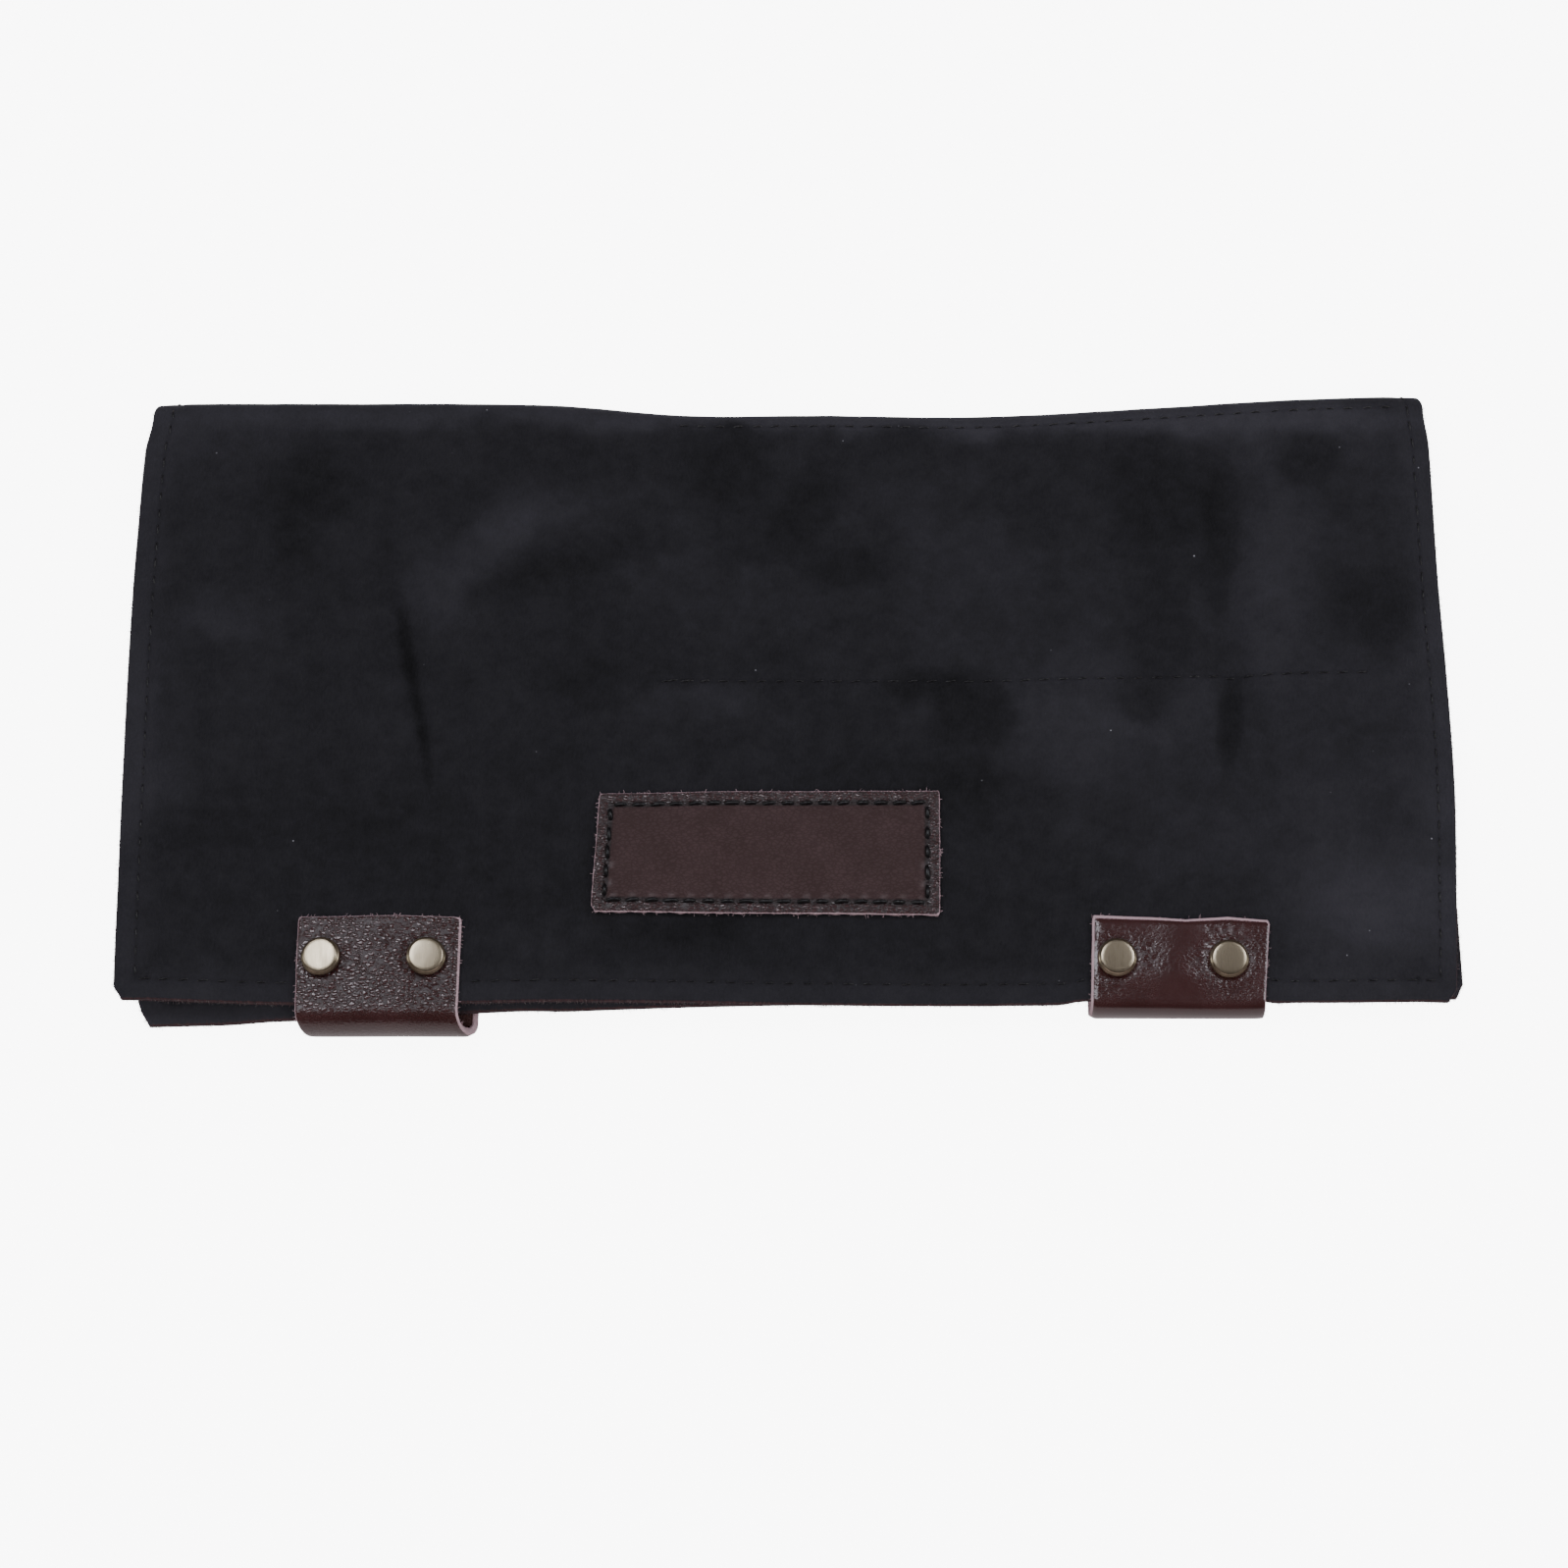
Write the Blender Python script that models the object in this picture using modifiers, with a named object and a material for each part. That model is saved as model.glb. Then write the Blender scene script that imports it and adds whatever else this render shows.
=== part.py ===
"""Folding scissor case of black suede, closed by two leather tabs with press studs.

Run with: blender --background --python part.py. Units are metres and +Z is up. The case lies on its
back as it does when it is closed: +X runs to the right along its length and +Y runs from the open
hem to the fold. The origin is at the middle of the bottom of the whole case.
"""

import math
from collections import namedtuple

import bmesh
import bpy
from mathutils import Matrix, Vector

# Overall sizes of the closed case
CASE_WIDTH = 0.300
CASE_HEIGHT = 0.147
INNER_ROOM = 0.005
SUEDE_THICKNESS = 0.0022
CLEARANCE = 0.0003

# How the folded sheet lies
FOLD_DEPTH = 0.0052
EDGE_DROOP = 0.0010
EDGE_DROOP_WIDTH = 0.011
HEM_CORNER = 0.0015
BACK_CORNER = 0.0027
CORNER_STRETCH = 2.2

# Leather closing tabs
TAB_WIDTH = 0.0375
TAB_THICKNESS = 0.0016
TAB_BACK_LEG = 0.036
TAB_BED_MARGIN = 0.008
TAB_BED_SLOPE = 0.014
PINCH_SPREAD = 0.006

# Leather name patch, left bare
PATCH_WIDTH = 0.077
PATCH_HEIGHT = 0.0285
PATCH_THICKNESS = 0.0015

# Press studs
SNAP_DIAMETER = 0.0088
SNAP_HEIGHT = 0.0020
SNAP_POST_DIAMETER = 0.0030
SNAP_BASE_DIAMETER = 0.0068
SNAP_BASE_THICKNESS = 0.0005
SNAP_FROM_TAB_END = 0.0094

# Mesh density
SHEET_COLUMNS = 44
HEM_CROWDING = 1.4
FLAP_ROWS = 15
FOLD_ROWS = 8
BACK_ROWS = 11
TAB_COLUMNS = 10
TAB_FRONT_ROWS = 8
TAB_TURN_ROWS = 12
TAB_BACK_ROWS = 4
PATCH_COLUMNS = 20
PATCH_ROWS = 7
SNAP_SIDES = 20

# Sections across the case, from the left end (-1) to the right end (1). fold, hem and back_hem move
# those three edges up the case, as shares of its height. crest, belly and brim are the room between
# the panels near the fold, half-way down and at the hem, as shares of the inner room.
Section = namedtuple("Section", "along fold hem back_hem crest belly brim")
SECTIONS = (
    Section(-1.00, 0.004, 0.004, -0.022, 0.58, 0.80, 0.84),
    Section(-0.72, 0.004, -0.005, -0.014, 0.62, 0.95, 0.80),
    Section(-0.38, 0.001, -0.001, 0.002, 0.64, 1.00, 0.80),
    Section(-0.16, -0.016, -0.001, 0.010, 0.52, 0.98, 0.72),
    Section(0.06, -0.016, -0.004, 0.014, 0.54, 0.92, 0.58),
    Section(0.30, -0.018, -0.003, 0.016, 0.50, 0.84, 0.36),
    Section(0.58, -0.003, 0.003, 0.019, 0.56, 0.72, 0.08),
    Section(0.78, 0.010, 0.0045, 0.021, 0.60, 0.68, 0.10),
    Section(1.00, 0.018, 0.0055, 0.022, 0.60, 0.58, 0.24),
)

# Side edges of the sheet: place along it, from the flap's hem (0) over the fold (1) to the back hem
# (2), and how far each end stands in from a straight edge, as shares of the case's width
Side = namedtuple("Side", "place left right")
SIDES = (
    Side(0.00, 0.0040, 0.0052),
    Side(0.12, 0.0025, 0.0018),
    Side(0.38, 0.0000, -0.0028),
    Side(0.70, -0.0012, 0.0000),
    Side(0.94, 0.0010, 0.0005),
    Side(1.00, 0.0060, 0.0035),
    Side(1.10, 0.0030, 0.0010),
    Side(2.00, 0.0177, -0.0035),
)

# Soft creases and swells of the flap: middle, half length and half width as shares of the case's
# width and height, the lean of the long way from straight up, and the rise as a share of the inner
# room (below zero for a crease)
Dent = namedtuple("Dent", "across up half_width half_height lean rise")
DENTS = (
    Dent(-0.283, 0.045, 0.012, 0.25, 0.17, -0.26),
    Dent(-0.246, 0.040, 0.030, 0.27, 0.17, 0.12),
    Dent(0.342, 0.110, 0.013, 0.28, -0.02, -0.26),
    Dent(0.385, 0.120, 0.034, 0.30, -0.02, 0.12),
    Dent(0.215, -0.240, 0.140, 0.035, 0.0, -0.10),
    Dent(-0.300, -0.440, 0.036, 0.11, 0.0, 0.20),
    Dent(-0.060, 0.440, 0.050, 0.05, 0.0, -0.16),
)

# Closing tabs: centre as a share of half the case width, width as a share of the tab width, how much
# wider and further right its front end is, how far it slips sideways as it turns under the hem, how
# far its bend stands off the hem, how much it pushes the hem up, how far up the flap it reaches, and
# where its two studs sit as shares of half its width. Slips and reaches are shares of the tab width.
Tab = namedtuple("Tab", "name centre width flare lean slip reach pinch front_leg studs")
TABS = (
    Tab("tab_left", -0.603, 0.950, 0.012, 0.006, 0.099, 0.080, 0.0, 0.552, (-0.69, 0.594)),
    Tab("tab_right", 0.577, 1.030, 0.020, 0.030, 0.0, 0.032, 0.022, 0.496, (-0.70, 0.595)),
)

# Corners of the hand-cut patch, as shares of half its width and height from its middle
PATCH_MIDDLE = (-0.0143, -0.2705)
PATCH_CORNERS = {
    "lower_left": (-1.02, -0.98),
    "lower_right": (0.99, -1.01),
    "upper_left": (-0.98, 0.95),
    "upper_right": (1.00, 1.02),
}

# Turned outline of a press stud's cap, as shares of its radius and height
StudPoint = namedtuple("StudPoint", "radius height")
CAP_OUTLINE = (
    StudPoint(0.90, 0.0),
    StudPoint(1.00, 0.12),
    StudPoint(1.00, 0.58),
    StudPoint(0.94, 0.82),
    StudPoint(0.82, 0.93),
    StudPoint(0.45, 1.0),
)

MATERIALS = {
    "black_suede": {"color": (0.012, 0.012, 0.015), "roughness": 0.95, "metallic": 0.0},
    "brown_leather": {"color": (0.042, 0.014, 0.012), "roughness": 0.42, "metallic": 0.0},
    "antique_brass": {"color": (0.42, 0.36, 0.22), "roughness": 0.32, "metallic": 1.0},
}

# Height of the flap's outer face where the panels meet: tab leather, its gap, two panels and the
# room that a stud's base takes up between them
TAB_BED = TAB_THICKNESS + CLEARANCE
STUD_ROOM = SNAP_BASE_THICKNESS + 2 * CLEARANCE
CLOSED_HEIGHT = TAB_BED + 2 * SUEDE_THICKNESS + STUD_ROOM
SLOPE_STEP = 0.0005


def smooth(share):
    """Ease from 0 to 1, level at both ends."""
    t = min(1.0, max(0.0, share))
    return t * t * (3.0 - 2.0 * t)


def read_table(rows, column, at):
    """Value of a column at a place along the table, on a curve through its rows."""
    key = rows[0]._fields[0]
    places = [getattr(row, key) for row in rows]
    values = [getattr(row, column) for row in rows]
    at = min(places[-1], max(places[0], at))
    i = max(k for k in range(len(rows) - 1) if places[k] <= at)
    span = places[i + 1] - places[i]
    t = (at - places[i]) / span

    def slope(k):
        low, high = max(0, k - 1), min(len(rows) - 1, k + 1)
        return (values[high] - values[low]) / (places[high] - places[low])

    return (
        (1 + 2 * t) * (1 - t) ** 2 * values[i]
        + t * (1 - t) ** 2 * span * slope(i)
        + t * t * (3 - 2 * t) * values[i + 1]
        + t * t * (t - 1) * span * slope(i + 1)
    )


def tab_x(tab):
    return tab.centre * CASE_WIDTH / 2


def tab_half_width(tab):
    return tab.width * TAB_WIDTH / 2


def near_tab(tab, x, spread):
    """1 within a tab's width, easing to 0 over a spread beyond it."""
    return 1 - smooth((abs(x - tab_x(tab)) - tab_half_width(tab)) / spread)


def fold_line(along):
    """Furthest reach of the fold, up the case."""
    return CASE_HEIGHT * (0.5 + read_table(SECTIONS, "fold", along))


def hem_line(along):
    """Edge of the flap, which a tight tab pushes up."""
    push = sum(tab.pinch * TAB_WIDTH * near_tab(tab, along * CASE_WIDTH / 2, PINCH_SPREAD) for tab in TABS)
    return CASE_HEIGHT * (-0.5 + read_table(SECTIONS, "hem", along)) + push


def back_hem_line(along):
    return CASE_HEIGHT * (-0.5 + read_table(SECTIONS, "back_hem", along))


def dent_rise(x, y):
    """Rise of the flap from its creases and swells."""
    total = 0.0
    for dent in DENTS:
        dx = x - dent.across * CASE_WIDTH
        dy = y - dent.up * CASE_HEIGHT
        across = (dx * math.cos(dent.lean) + dy * math.sin(dent.lean)) / (dent.half_width * CASE_WIDTH)
        up = (dy * math.cos(dent.lean) - dx * math.sin(dent.lean)) / (dent.half_height * CASE_HEIGHT)
        total += dent.rise * INNER_ROOM * math.exp(-across * across - up * up)
    return total


def flap_height(x, y):
    """Height of the flap's outer face over the floor."""
    along = 2 * x / CASE_WIDTH
    top, bottom = fold_line(along) - FOLD_DEPTH, hem_line(along)
    down = min(1.0, max(0.0, (top - y) / (top - bottom)))
    room = (
        read_table(SECTIONS, "crest", along) * (1 - down) * (1 - 2 * down)
        + read_table(SECTIONS, "belly", along) * 4 * down * (1 - down)
        + read_table(SECTIONS, "brim", along) * down * (2 * down - 1)
    )
    inset = CASE_WIDTH / 2 - abs(x)
    droop = EDGE_DROOP * (1 - smooth(inset / EDGE_DROOP_WIDTH))
    return CLOSED_HEIGHT + INNER_ROOM * room + dent_rise(x, y) * smooth(6 * down) - droop


def tab_turn(tab):
    """Where the tab starts to turn under the hem: below both panels' edges over its whole width."""
    places = [(tab_x(tab) + side * tab_half_width(tab)) * 2 / CASE_WIDTH for side in (-1, 0, 1)]
    return min(min(hem_line(a), back_hem_line(a)) for a in places) - CLEARANCE


def tab_bed(x, y):
    """Height of the back panel, which lifts off the floor over the tabs' back legs."""
    lift = 0.0
    for tab in TABS:
        aside = abs(x - tab_x(tab) - tab.slip * TAB_WIDTH) - tab_half_width(tab) - TAB_BED_MARGIN
        above = y - tab_turn(tab) - TAB_BACK_LEG - TAB_BED_MARGIN
        near = (1 - smooth(aside / TAB_BED_SLOPE)) * (1 - smooth(above / TAB_BED_SLOPE))
        lift = max(lift, near)
    return TAB_BED * lift


def rounding(from_hem, corner):
    """How far a rounded corner stands in from the side at a distance from the hem."""
    return corner * (1 - smooth(from_hem / (CORNER_STRETCH * corner))) ** 1.5


def across_sheet(along, place, from_hem, left_corner):
    """Position across the case of a point on the sheet, between its two side edges."""
    left = CASE_WIDTH * (-0.5 + read_table(SIDES, "left", place)) + rounding(from_hem, left_corner)
    right = CASE_WIDTH * (0.5 - read_table(SIDES, "right", place)) - rounding(from_hem, HEM_CORNER)
    return left + (right - left) * (along + 1) / 2


def sheet_point(along, strip):
    """Point of the suede's outer face, from the flap's hem (strip 0) round the fold to the back hem (1)."""
    row = strip * (FLAP_ROWS + FOLD_ROWS + BACK_ROWS)
    top = fold_line(along) - FOLD_DEPTH
    if row <= FLAP_ROWS:
        share = (row / FLAP_ROWS) ** HEM_CROWDING
        low = hem_line(along)
        y = low + (top - low) * share
        x = across_sheet(along, share, y - low, HEM_CORNER)
        return Vector((x, y, flap_height(x, y)))
    if row < FLAP_ROWS + FOLD_ROWS:
        turn = math.pi * (row - FLAP_ROWS) / FOLD_ROWS
        x = across_sheet(along, 1.0, CASE_HEIGHT, HEM_CORNER)
        half = flap_height(x, top) / 2
        return Vector((x, top + FOLD_DEPTH * math.sin(turn), half + half * math.cos(turn)))
    share = 1 - (1 - (row - FLAP_ROWS - FOLD_ROWS) / BACK_ROWS) ** HEM_CROWDING
    low = back_hem_line(along)
    y = top + (low - top) * share
    x = across_sheet(along, 1.0 + share, y - low, BACK_CORNER)
    return Vector((x, y, tab_bed(x, y)))


def face_up(x, y):
    """Unit normal of the flap's outer face."""
    rise_x = (flap_height(x + SLOPE_STEP, y) - flap_height(x - SLOPE_STEP, y)) / (2 * SLOPE_STEP)
    rise_y = (flap_height(x, y + SLOPE_STEP) - flap_height(x, y - SLOPE_STEP)) / (2 * SLOPE_STEP)
    return Vector((-rise_x, -rise_y, 1.0)).normalized()


def on_flap(x, y, lift):
    """Point at a lift over the flap, square to its face."""
    return Vector((x, y, flap_height(x, y))) + face_up(x, y) * lift


def tab_point(tab, across, strip):
    """Point of a tab's inner face. strip runs from the front end (0) under the hem to the back end (1)."""
    row = strip * (TAB_FRONT_ROWS + TAB_TURN_ROWS + TAB_BACK_ROWS)
    turn_y = tab_turn(tab)
    x = tab_x(tab) + across * tab_half_width(tab)
    if row <= TAB_FRONT_ROWS:
        up = 1 - row / TAB_FRONT_ROWS
        x += TAB_WIDTH * up * (tab.lean + tab.flare * across / 2)
        return on_flap(x, turn_y + up * tab.front_leg * TAB_WIDTH, CLEARANCE)
    front = on_flap(x, turn_y, CLEARANCE)
    slip = tab.slip * TAB_WIDTH
    if row >= TAB_FRONT_ROWS + TAB_TURN_ROWS:
        up = (row - TAB_FRONT_ROWS - TAB_TURN_ROWS) / TAB_BACK_ROWS
        return Vector((front.x + slip, turn_y + up * TAB_BACK_LEG, TAB_THICKNESS))
    turn = math.pi * (row - TAB_FRONT_ROWS) / TAB_TURN_ROWS
    half = (front.z - TAB_THICKNESS) / 2
    return Vector(
        (
            front.x + slip * smooth(turn / math.pi),
            front.y + (turn_y - front.y) * turn / math.pi - tab.reach * TAB_WIDTH * math.sin(turn),
            TAB_THICKNESS + half + half * math.cos(turn),
        )
    )


def patch_point(across, up):
    """Point of the patch's under face, -1 to 1 each way."""
    corner = {name: Vector(place) for name, place in PATCH_CORNERS.items()}
    s, t = (across + 1) / 2, (up + 1) / 2
    lower = corner["lower_left"].lerp(corner["lower_right"], s)
    upper = corner["upper_left"].lerp(corner["upper_right"], s)
    place = lower.lerp(upper, t)
    x = PATCH_MIDDLE[0] * CASE_WIDTH + place.x * PATCH_WIDTH / 2
    y = PATCH_MIDDLE[1] * CASE_HEIGHT + place.y * PATCH_HEIGHT / 2
    return on_flap(x, y, CLEARANCE)


def clear_scene():
    for old in list(bpy.data.objects):
        bpy.data.objects.remove(old, do_unlink=True)


def new_collection(name):
    group = bpy.data.collections.new(name)
    bpy.context.scene.collection.children.link(group)
    return group


def make_material(name):
    facts = MATERIALS[name]
    material = bpy.data.materials.new(name)
    material.use_nodes = True
    shader = material.node_tree.nodes["Principled BSDF"]
    shader.inputs["Base Color"].default_value = (*facts["color"], 1.0)
    shader.inputs["Roughness"].default_value = facts["roughness"]
    shader.inputs["Metallic"].default_value = facts["metallic"]
    material.diffuse_color = (*facts["color"], 1.0)
    return material


def add_object(name, mesh, group, material=None):
    made = bpy.data.objects.new(name, mesh)
    group.objects.link(made)
    if material is not None:
        mesh.materials.append(material)
    return made


def shaped_sheet(name, columns, rows, point, thickness, offset, group, material):
    """A flat grid bent to the shape of point(across, strip), then given its thickness."""
    mesh = bpy.data.meshes.new(name)
    grid = bmesh.new()
    bmesh.ops.create_grid(grid, x_segments=columns, y_segments=rows, size=1.0)
    for vertex in grid.verts:
        vertex.co = point(vertex.co.x, (vertex.co.y + 1) / 2)
    grid.to_mesh(mesh)
    grid.free()
    mesh.shade_smooth()
    made = add_object(name, mesh, group, material)
    wall = made.modifiers.new("Wall", "SOLIDIFY")
    wall.thickness = thickness
    wall.offset = offset
    wall.use_even_offset = True
    return made


def stud_places(tab):
    """Where a tab's studs stand, each with the way it faces."""
    for number, share in enumerate(tab.studs, start=1):
        x = tab_x(tab) + share * tab_half_width(tab)
        y = tab_turn(tab) + tab.front_leg * TAB_WIDTH - SNAP_FROM_TAB_END
        yield f"{tab.name.replace('tab', 'snap')}_{number}", Vector((x, y, flap_height(x, y))), face_up(x, y)


def stud_outline():
    """Turned outline of one stud from the top of its cap down to its base, with the flap's face at height 0."""
    seat = CLEARANCE + TAB_THICKNESS + CLEARANCE
    under = -SUEDE_THICKNESS - CLEARANCE
    radius, post = SNAP_DIAMETER / 2, SNAP_POST_DIAMETER / 2
    points = [(0.0, seat + SNAP_HEIGHT)]
    points += [(p.radius * radius, seat + p.height * SNAP_HEIGHT) for p in reversed(CAP_OUTLINE)]
    points += [(post, seat), (post, under), (SNAP_BASE_DIAMETER / 2, under)]
    points += [(SNAP_BASE_DIAMETER / 2, under - SNAP_BASE_THICKNESS), (0.0, under - SNAP_BASE_THICKNESS)]
    return points


def make_stud(name, place, facing, group, material):
    mesh = bpy.data.meshes.new(name)
    turned = bmesh.new()
    points = stud_outline()
    line = [turned.verts.new((radius, 0.0, height)) for radius, height in points]
    for upper, lower in zip(line, line[1:]):
        turned.edges.new((upper, lower))
    turned.to_mesh(mesh)
    turned.free()
    made = add_object(name, mesh, group, material)
    made.location = place
    made.rotation_euler = facing.to_track_quat("Z", "Y").to_euler()
    screw = made.modifiers.new("Turn", "SCREW")
    screw.axis = "Z"
    screw.steps = SNAP_SIDES
    screw.render_steps = SNAP_SIDES
    screw.use_merge_vertices = True
    screw.merge_threshold = 0.00001
    return made


def make_stud_cutter(name, place, facing, group):
    """Round cutter for a stud's post, through the tab and the flap but not the back panel."""
    above = 4 * CLEARANCE + TAB_THICKNESS
    below = SUEDE_THICKNESS + STUD_ROOM / 2
    mesh = bpy.data.meshes.new(name)
    drill = bmesh.new()
    radius = SNAP_POST_DIAMETER / 2 + CLEARANCE
    bmesh.ops.create_cone(
        drill,
        cap_ends=True,
        segments=SNAP_SIDES,
        radius1=radius,
        radius2=radius,
        depth=above + below,
        matrix=Matrix.Translation((0.0, 0.0, (above - below) / 2)),
    )
    drill.to_mesh(mesh)
    drill.free()
    cutter = add_object(name, mesh, group)
    cutter.location = place
    cutter.rotation_euler = facing.to_track_quat("Z", "Y").to_euler()
    cutter.hide_render = True
    cutter.display_type = "WIRE"
    return cutter


def drill_with(target, cutter):
    hole = target.modifiers.new("Stud hole", "BOOLEAN")
    hole.operation = "DIFFERENCE"
    hole.object = cutter


def make_body(group, material):
    return shaped_sheet(
        "case_body",
        SHEET_COLUMNS,
        FLAP_ROWS + FOLD_ROWS + BACK_ROWS,
        sheet_point,
        SUEDE_THICKNESS,
        -1.0,
        group,
        material,
    )


def make_tab(tab, group, material):
    def point(across, strip):
        return tab_point(tab, across, strip)

    rows = TAB_FRONT_ROWS + TAB_TURN_ROWS + TAB_BACK_ROWS
    return shaped_sheet(tab.name, TAB_COLUMNS, rows, point, TAB_THICKNESS, -1.0, group, material)


def make_patch(group, material):
    def point(across, strip):
        return patch_point(across, 2 * strip - 1)

    return shaped_sheet("patch", PATCH_COLUMNS, PATCH_ROWS, point, PATCH_THICKNESS, 1.0, group, material)


def stand_on_origin(group):
    """Parent the pieces to one empty, moved so that the origin is at the bottom middle of them all."""
    bpy.context.view_layer.update()
    depsgraph = bpy.context.evaluated_depsgraph_get()
    corners = []
    for piece in group.objects:
        shown = piece.evaluated_get(depsgraph)
        corners += [shown.matrix_world @ vertex.co for vertex in shown.data.vertices]
    low = Vector([min(c[i] for c in corners) for i in range(3)])
    high = Vector([max(c[i] for c in corners) for i in range(3)])
    holder = bpy.data.objects.new("scissor_case_origin", None)
    bpy.context.scene.collection.objects.link(holder)
    for thing in [*group.objects, *bpy.data.collections["cutters"].objects]:
        thing.parent = holder
    holder.location = (-(low.x + high.x) / 2, -(low.y + high.y) / 2, -low.z)


def main():
    clear_scene()
    pieces = new_collection("scissor_case")
    cutters = new_collection("cutters")
    suede = make_material("black_suede")
    leather = make_material("brown_leather")
    brass = make_material("antique_brass")

    body = make_body(pieces, suede)
    make_patch(pieces, leather)
    for tab in TABS:
        strap = make_tab(tab, pieces, leather)
        for name, place, facing in stud_places(tab):
            make_stud(name, place, facing, pieces, brass)
            cutter = make_stud_cutter(name + "_hole", place, facing, cutters)
            drill_with(strap, cutter)
            drill_with(body, cutter)
    stand_on_origin(pieces)


main()
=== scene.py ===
"""Looks of a folding scissor case: black suede, brown leather tabs and patch, brass press studs.

Laid out as an add-on and run as a script. Units are metres and +Z is up. The case lies on its back:
+X runs to the right along it, and +Y from its open hem to its fold. Shapes are worked out in the
part's own frame, whose middle is the middle of a flat case, and then shifted onto the packed model.
"""

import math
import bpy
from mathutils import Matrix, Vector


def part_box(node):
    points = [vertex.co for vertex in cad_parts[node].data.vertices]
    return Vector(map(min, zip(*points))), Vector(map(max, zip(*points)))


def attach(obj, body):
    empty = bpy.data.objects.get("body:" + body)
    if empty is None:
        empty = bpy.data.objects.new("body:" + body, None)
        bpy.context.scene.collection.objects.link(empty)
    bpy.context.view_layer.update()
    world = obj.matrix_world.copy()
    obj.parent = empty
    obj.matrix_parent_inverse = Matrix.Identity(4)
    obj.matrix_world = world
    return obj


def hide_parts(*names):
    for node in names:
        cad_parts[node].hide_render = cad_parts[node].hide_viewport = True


bl_info = {
    "name": "Folding scissor case",
    "version": (1, 0, 0),
    "blender": (4, 5, 0),
    "location": "View3D > Sidebar > Scissor case",
    "description": "Suede case with its stitches and edge fuzz, leather tabs and patch, and press studs",
    "category": "Object",
}

from collections import namedtuple

import bpy
import numpy as np
from bpy.props import FloatProperty, FloatVectorProperty, IntProperty, PointerProperty
from mathutils import Vector, noise

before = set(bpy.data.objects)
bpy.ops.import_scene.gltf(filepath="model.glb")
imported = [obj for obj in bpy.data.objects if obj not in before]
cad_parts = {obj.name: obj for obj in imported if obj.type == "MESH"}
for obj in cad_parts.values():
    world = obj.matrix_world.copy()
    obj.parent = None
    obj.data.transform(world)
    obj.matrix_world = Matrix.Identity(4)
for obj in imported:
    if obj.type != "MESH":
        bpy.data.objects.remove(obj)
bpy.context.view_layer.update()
BODY = "root"

# Sizes of the solids, which the looks follow
CASE_WIDTH = 0.300
CASE_HEIGHT = 0.147
INNER_ROOM = 0.005
SUEDE_THICKNESS = 0.0022
CLEARANCE = 0.0003
FOLD_DEPTH = 0.0052
FOLD_CORNER = 0.0014
EDGE_DROOP = 0.0010
EDGE_DROOP_WIDTH = 0.011
HEM_CORNER = 0.0015
BACK_CORNER = 0.0027
CORNER_STRETCH = 2.2
TAB_WIDTH = 0.0375
TAB_THICKNESS = 0.0016
TAB_BACK_LEG = 0.036
TAB_BED_MARGIN = 0.008
TAB_BED_SLOPE = 0.014
PINCH_SPREAD = 0.006
PATCH_WIDTH = 0.077
PATCH_HEIGHT = 0.0285
PATCH_THICKNESS = 0.0015
SNAP_DIAMETER = 0.0088
SNAP_HEIGHT = 0.0020
SNAP_POST_DIAMETER = 0.0030
SNAP_BASE_DIAMETER = 0.0068
SNAP_BASE_THICKNESS = 0.0005
SNAP_FROM_TAB_END = 0.0094
TAB_BED = TAB_THICKNESS + CLEARANCE
STUD_ROOM = SNAP_BASE_THICKNESS + 2 * CLEARANCE
CLOSED_HEIGHT = TAB_BED + 2 * SUEDE_THICKNESS + STUD_ROOM
SLOPE_STEP = 0.0005

# Sections across the case, from its left end (-1) to its right end (1), as in the solids
Section = namedtuple("Section", "along fold hem back_hem crest belly brim")
SECTIONS = (
    Section(-1.00, 0.004, 0.004, -0.022, 0.58, 0.80, 0.84),
    Section(-0.72, 0.004, -0.005, -0.014, 0.62, 0.95, 0.80),
    Section(-0.38, 0.001, -0.001, 0.002, 0.64, 1.00, 0.80),
    Section(-0.16, -0.016, -0.001, 0.010, 0.52, 0.98, 0.72),
    Section(0.06, -0.016, -0.004, 0.014, 0.54, 0.92, 0.58),
    Section(0.30, -0.018, -0.003, 0.016, 0.50, 0.84, 0.36),
    Section(0.58, -0.003, 0.003, 0.019, 0.56, 0.72, 0.08),
    Section(0.78, 0.010, 0.0045, 0.021, 0.60, 0.68, 0.10),
    Section(1.00, 0.018, 0.0055, 0.022, 0.60, 0.58, 0.24),
)

# Insets of the sheet's two side edges, from the flap's hem (0) over the fold (1) to the back hem (2)
Side = namedtuple("Side", "place left right")
SIDES = (
    Side(0.00, 0.0040, 0.0052),
    Side(0.12, 0.0025, 0.0018),
    Side(0.38, 0.0000, -0.0028),
    Side(0.70, -0.0012, 0.0000),
    Side(0.94, 0.0008, 0.0004),
    Side(1.00, 0.0052, 0.0030),
    Side(1.10, 0.0030, 0.0010),
    Side(2.00, 0.0177, -0.0035),
)

# Broad creases and swells of the flap, as in the solids
Dent = namedtuple("Dent", "across up half_width half_height lean rise")
DENTS = (
    Dent(-0.283, 0.045, 0.012, 0.25, 0.17, -0.26),
    Dent(-0.246, 0.040, 0.030, 0.27, 0.17, 0.12),
    Dent(0.342, 0.110, 0.013, 0.28, -0.02, -0.26),
    Dent(0.385, 0.120, 0.034, 0.30, -0.02, 0.12),
    Dent(0.215, -0.240, 0.140, 0.035, 0.0, -0.10),
    Dent(-0.300, -0.440, 0.036, 0.11, 0.0, 0.20),
    Dent(-0.060, 0.440, 0.050, 0.05, 0.0, -0.16),
)

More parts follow.
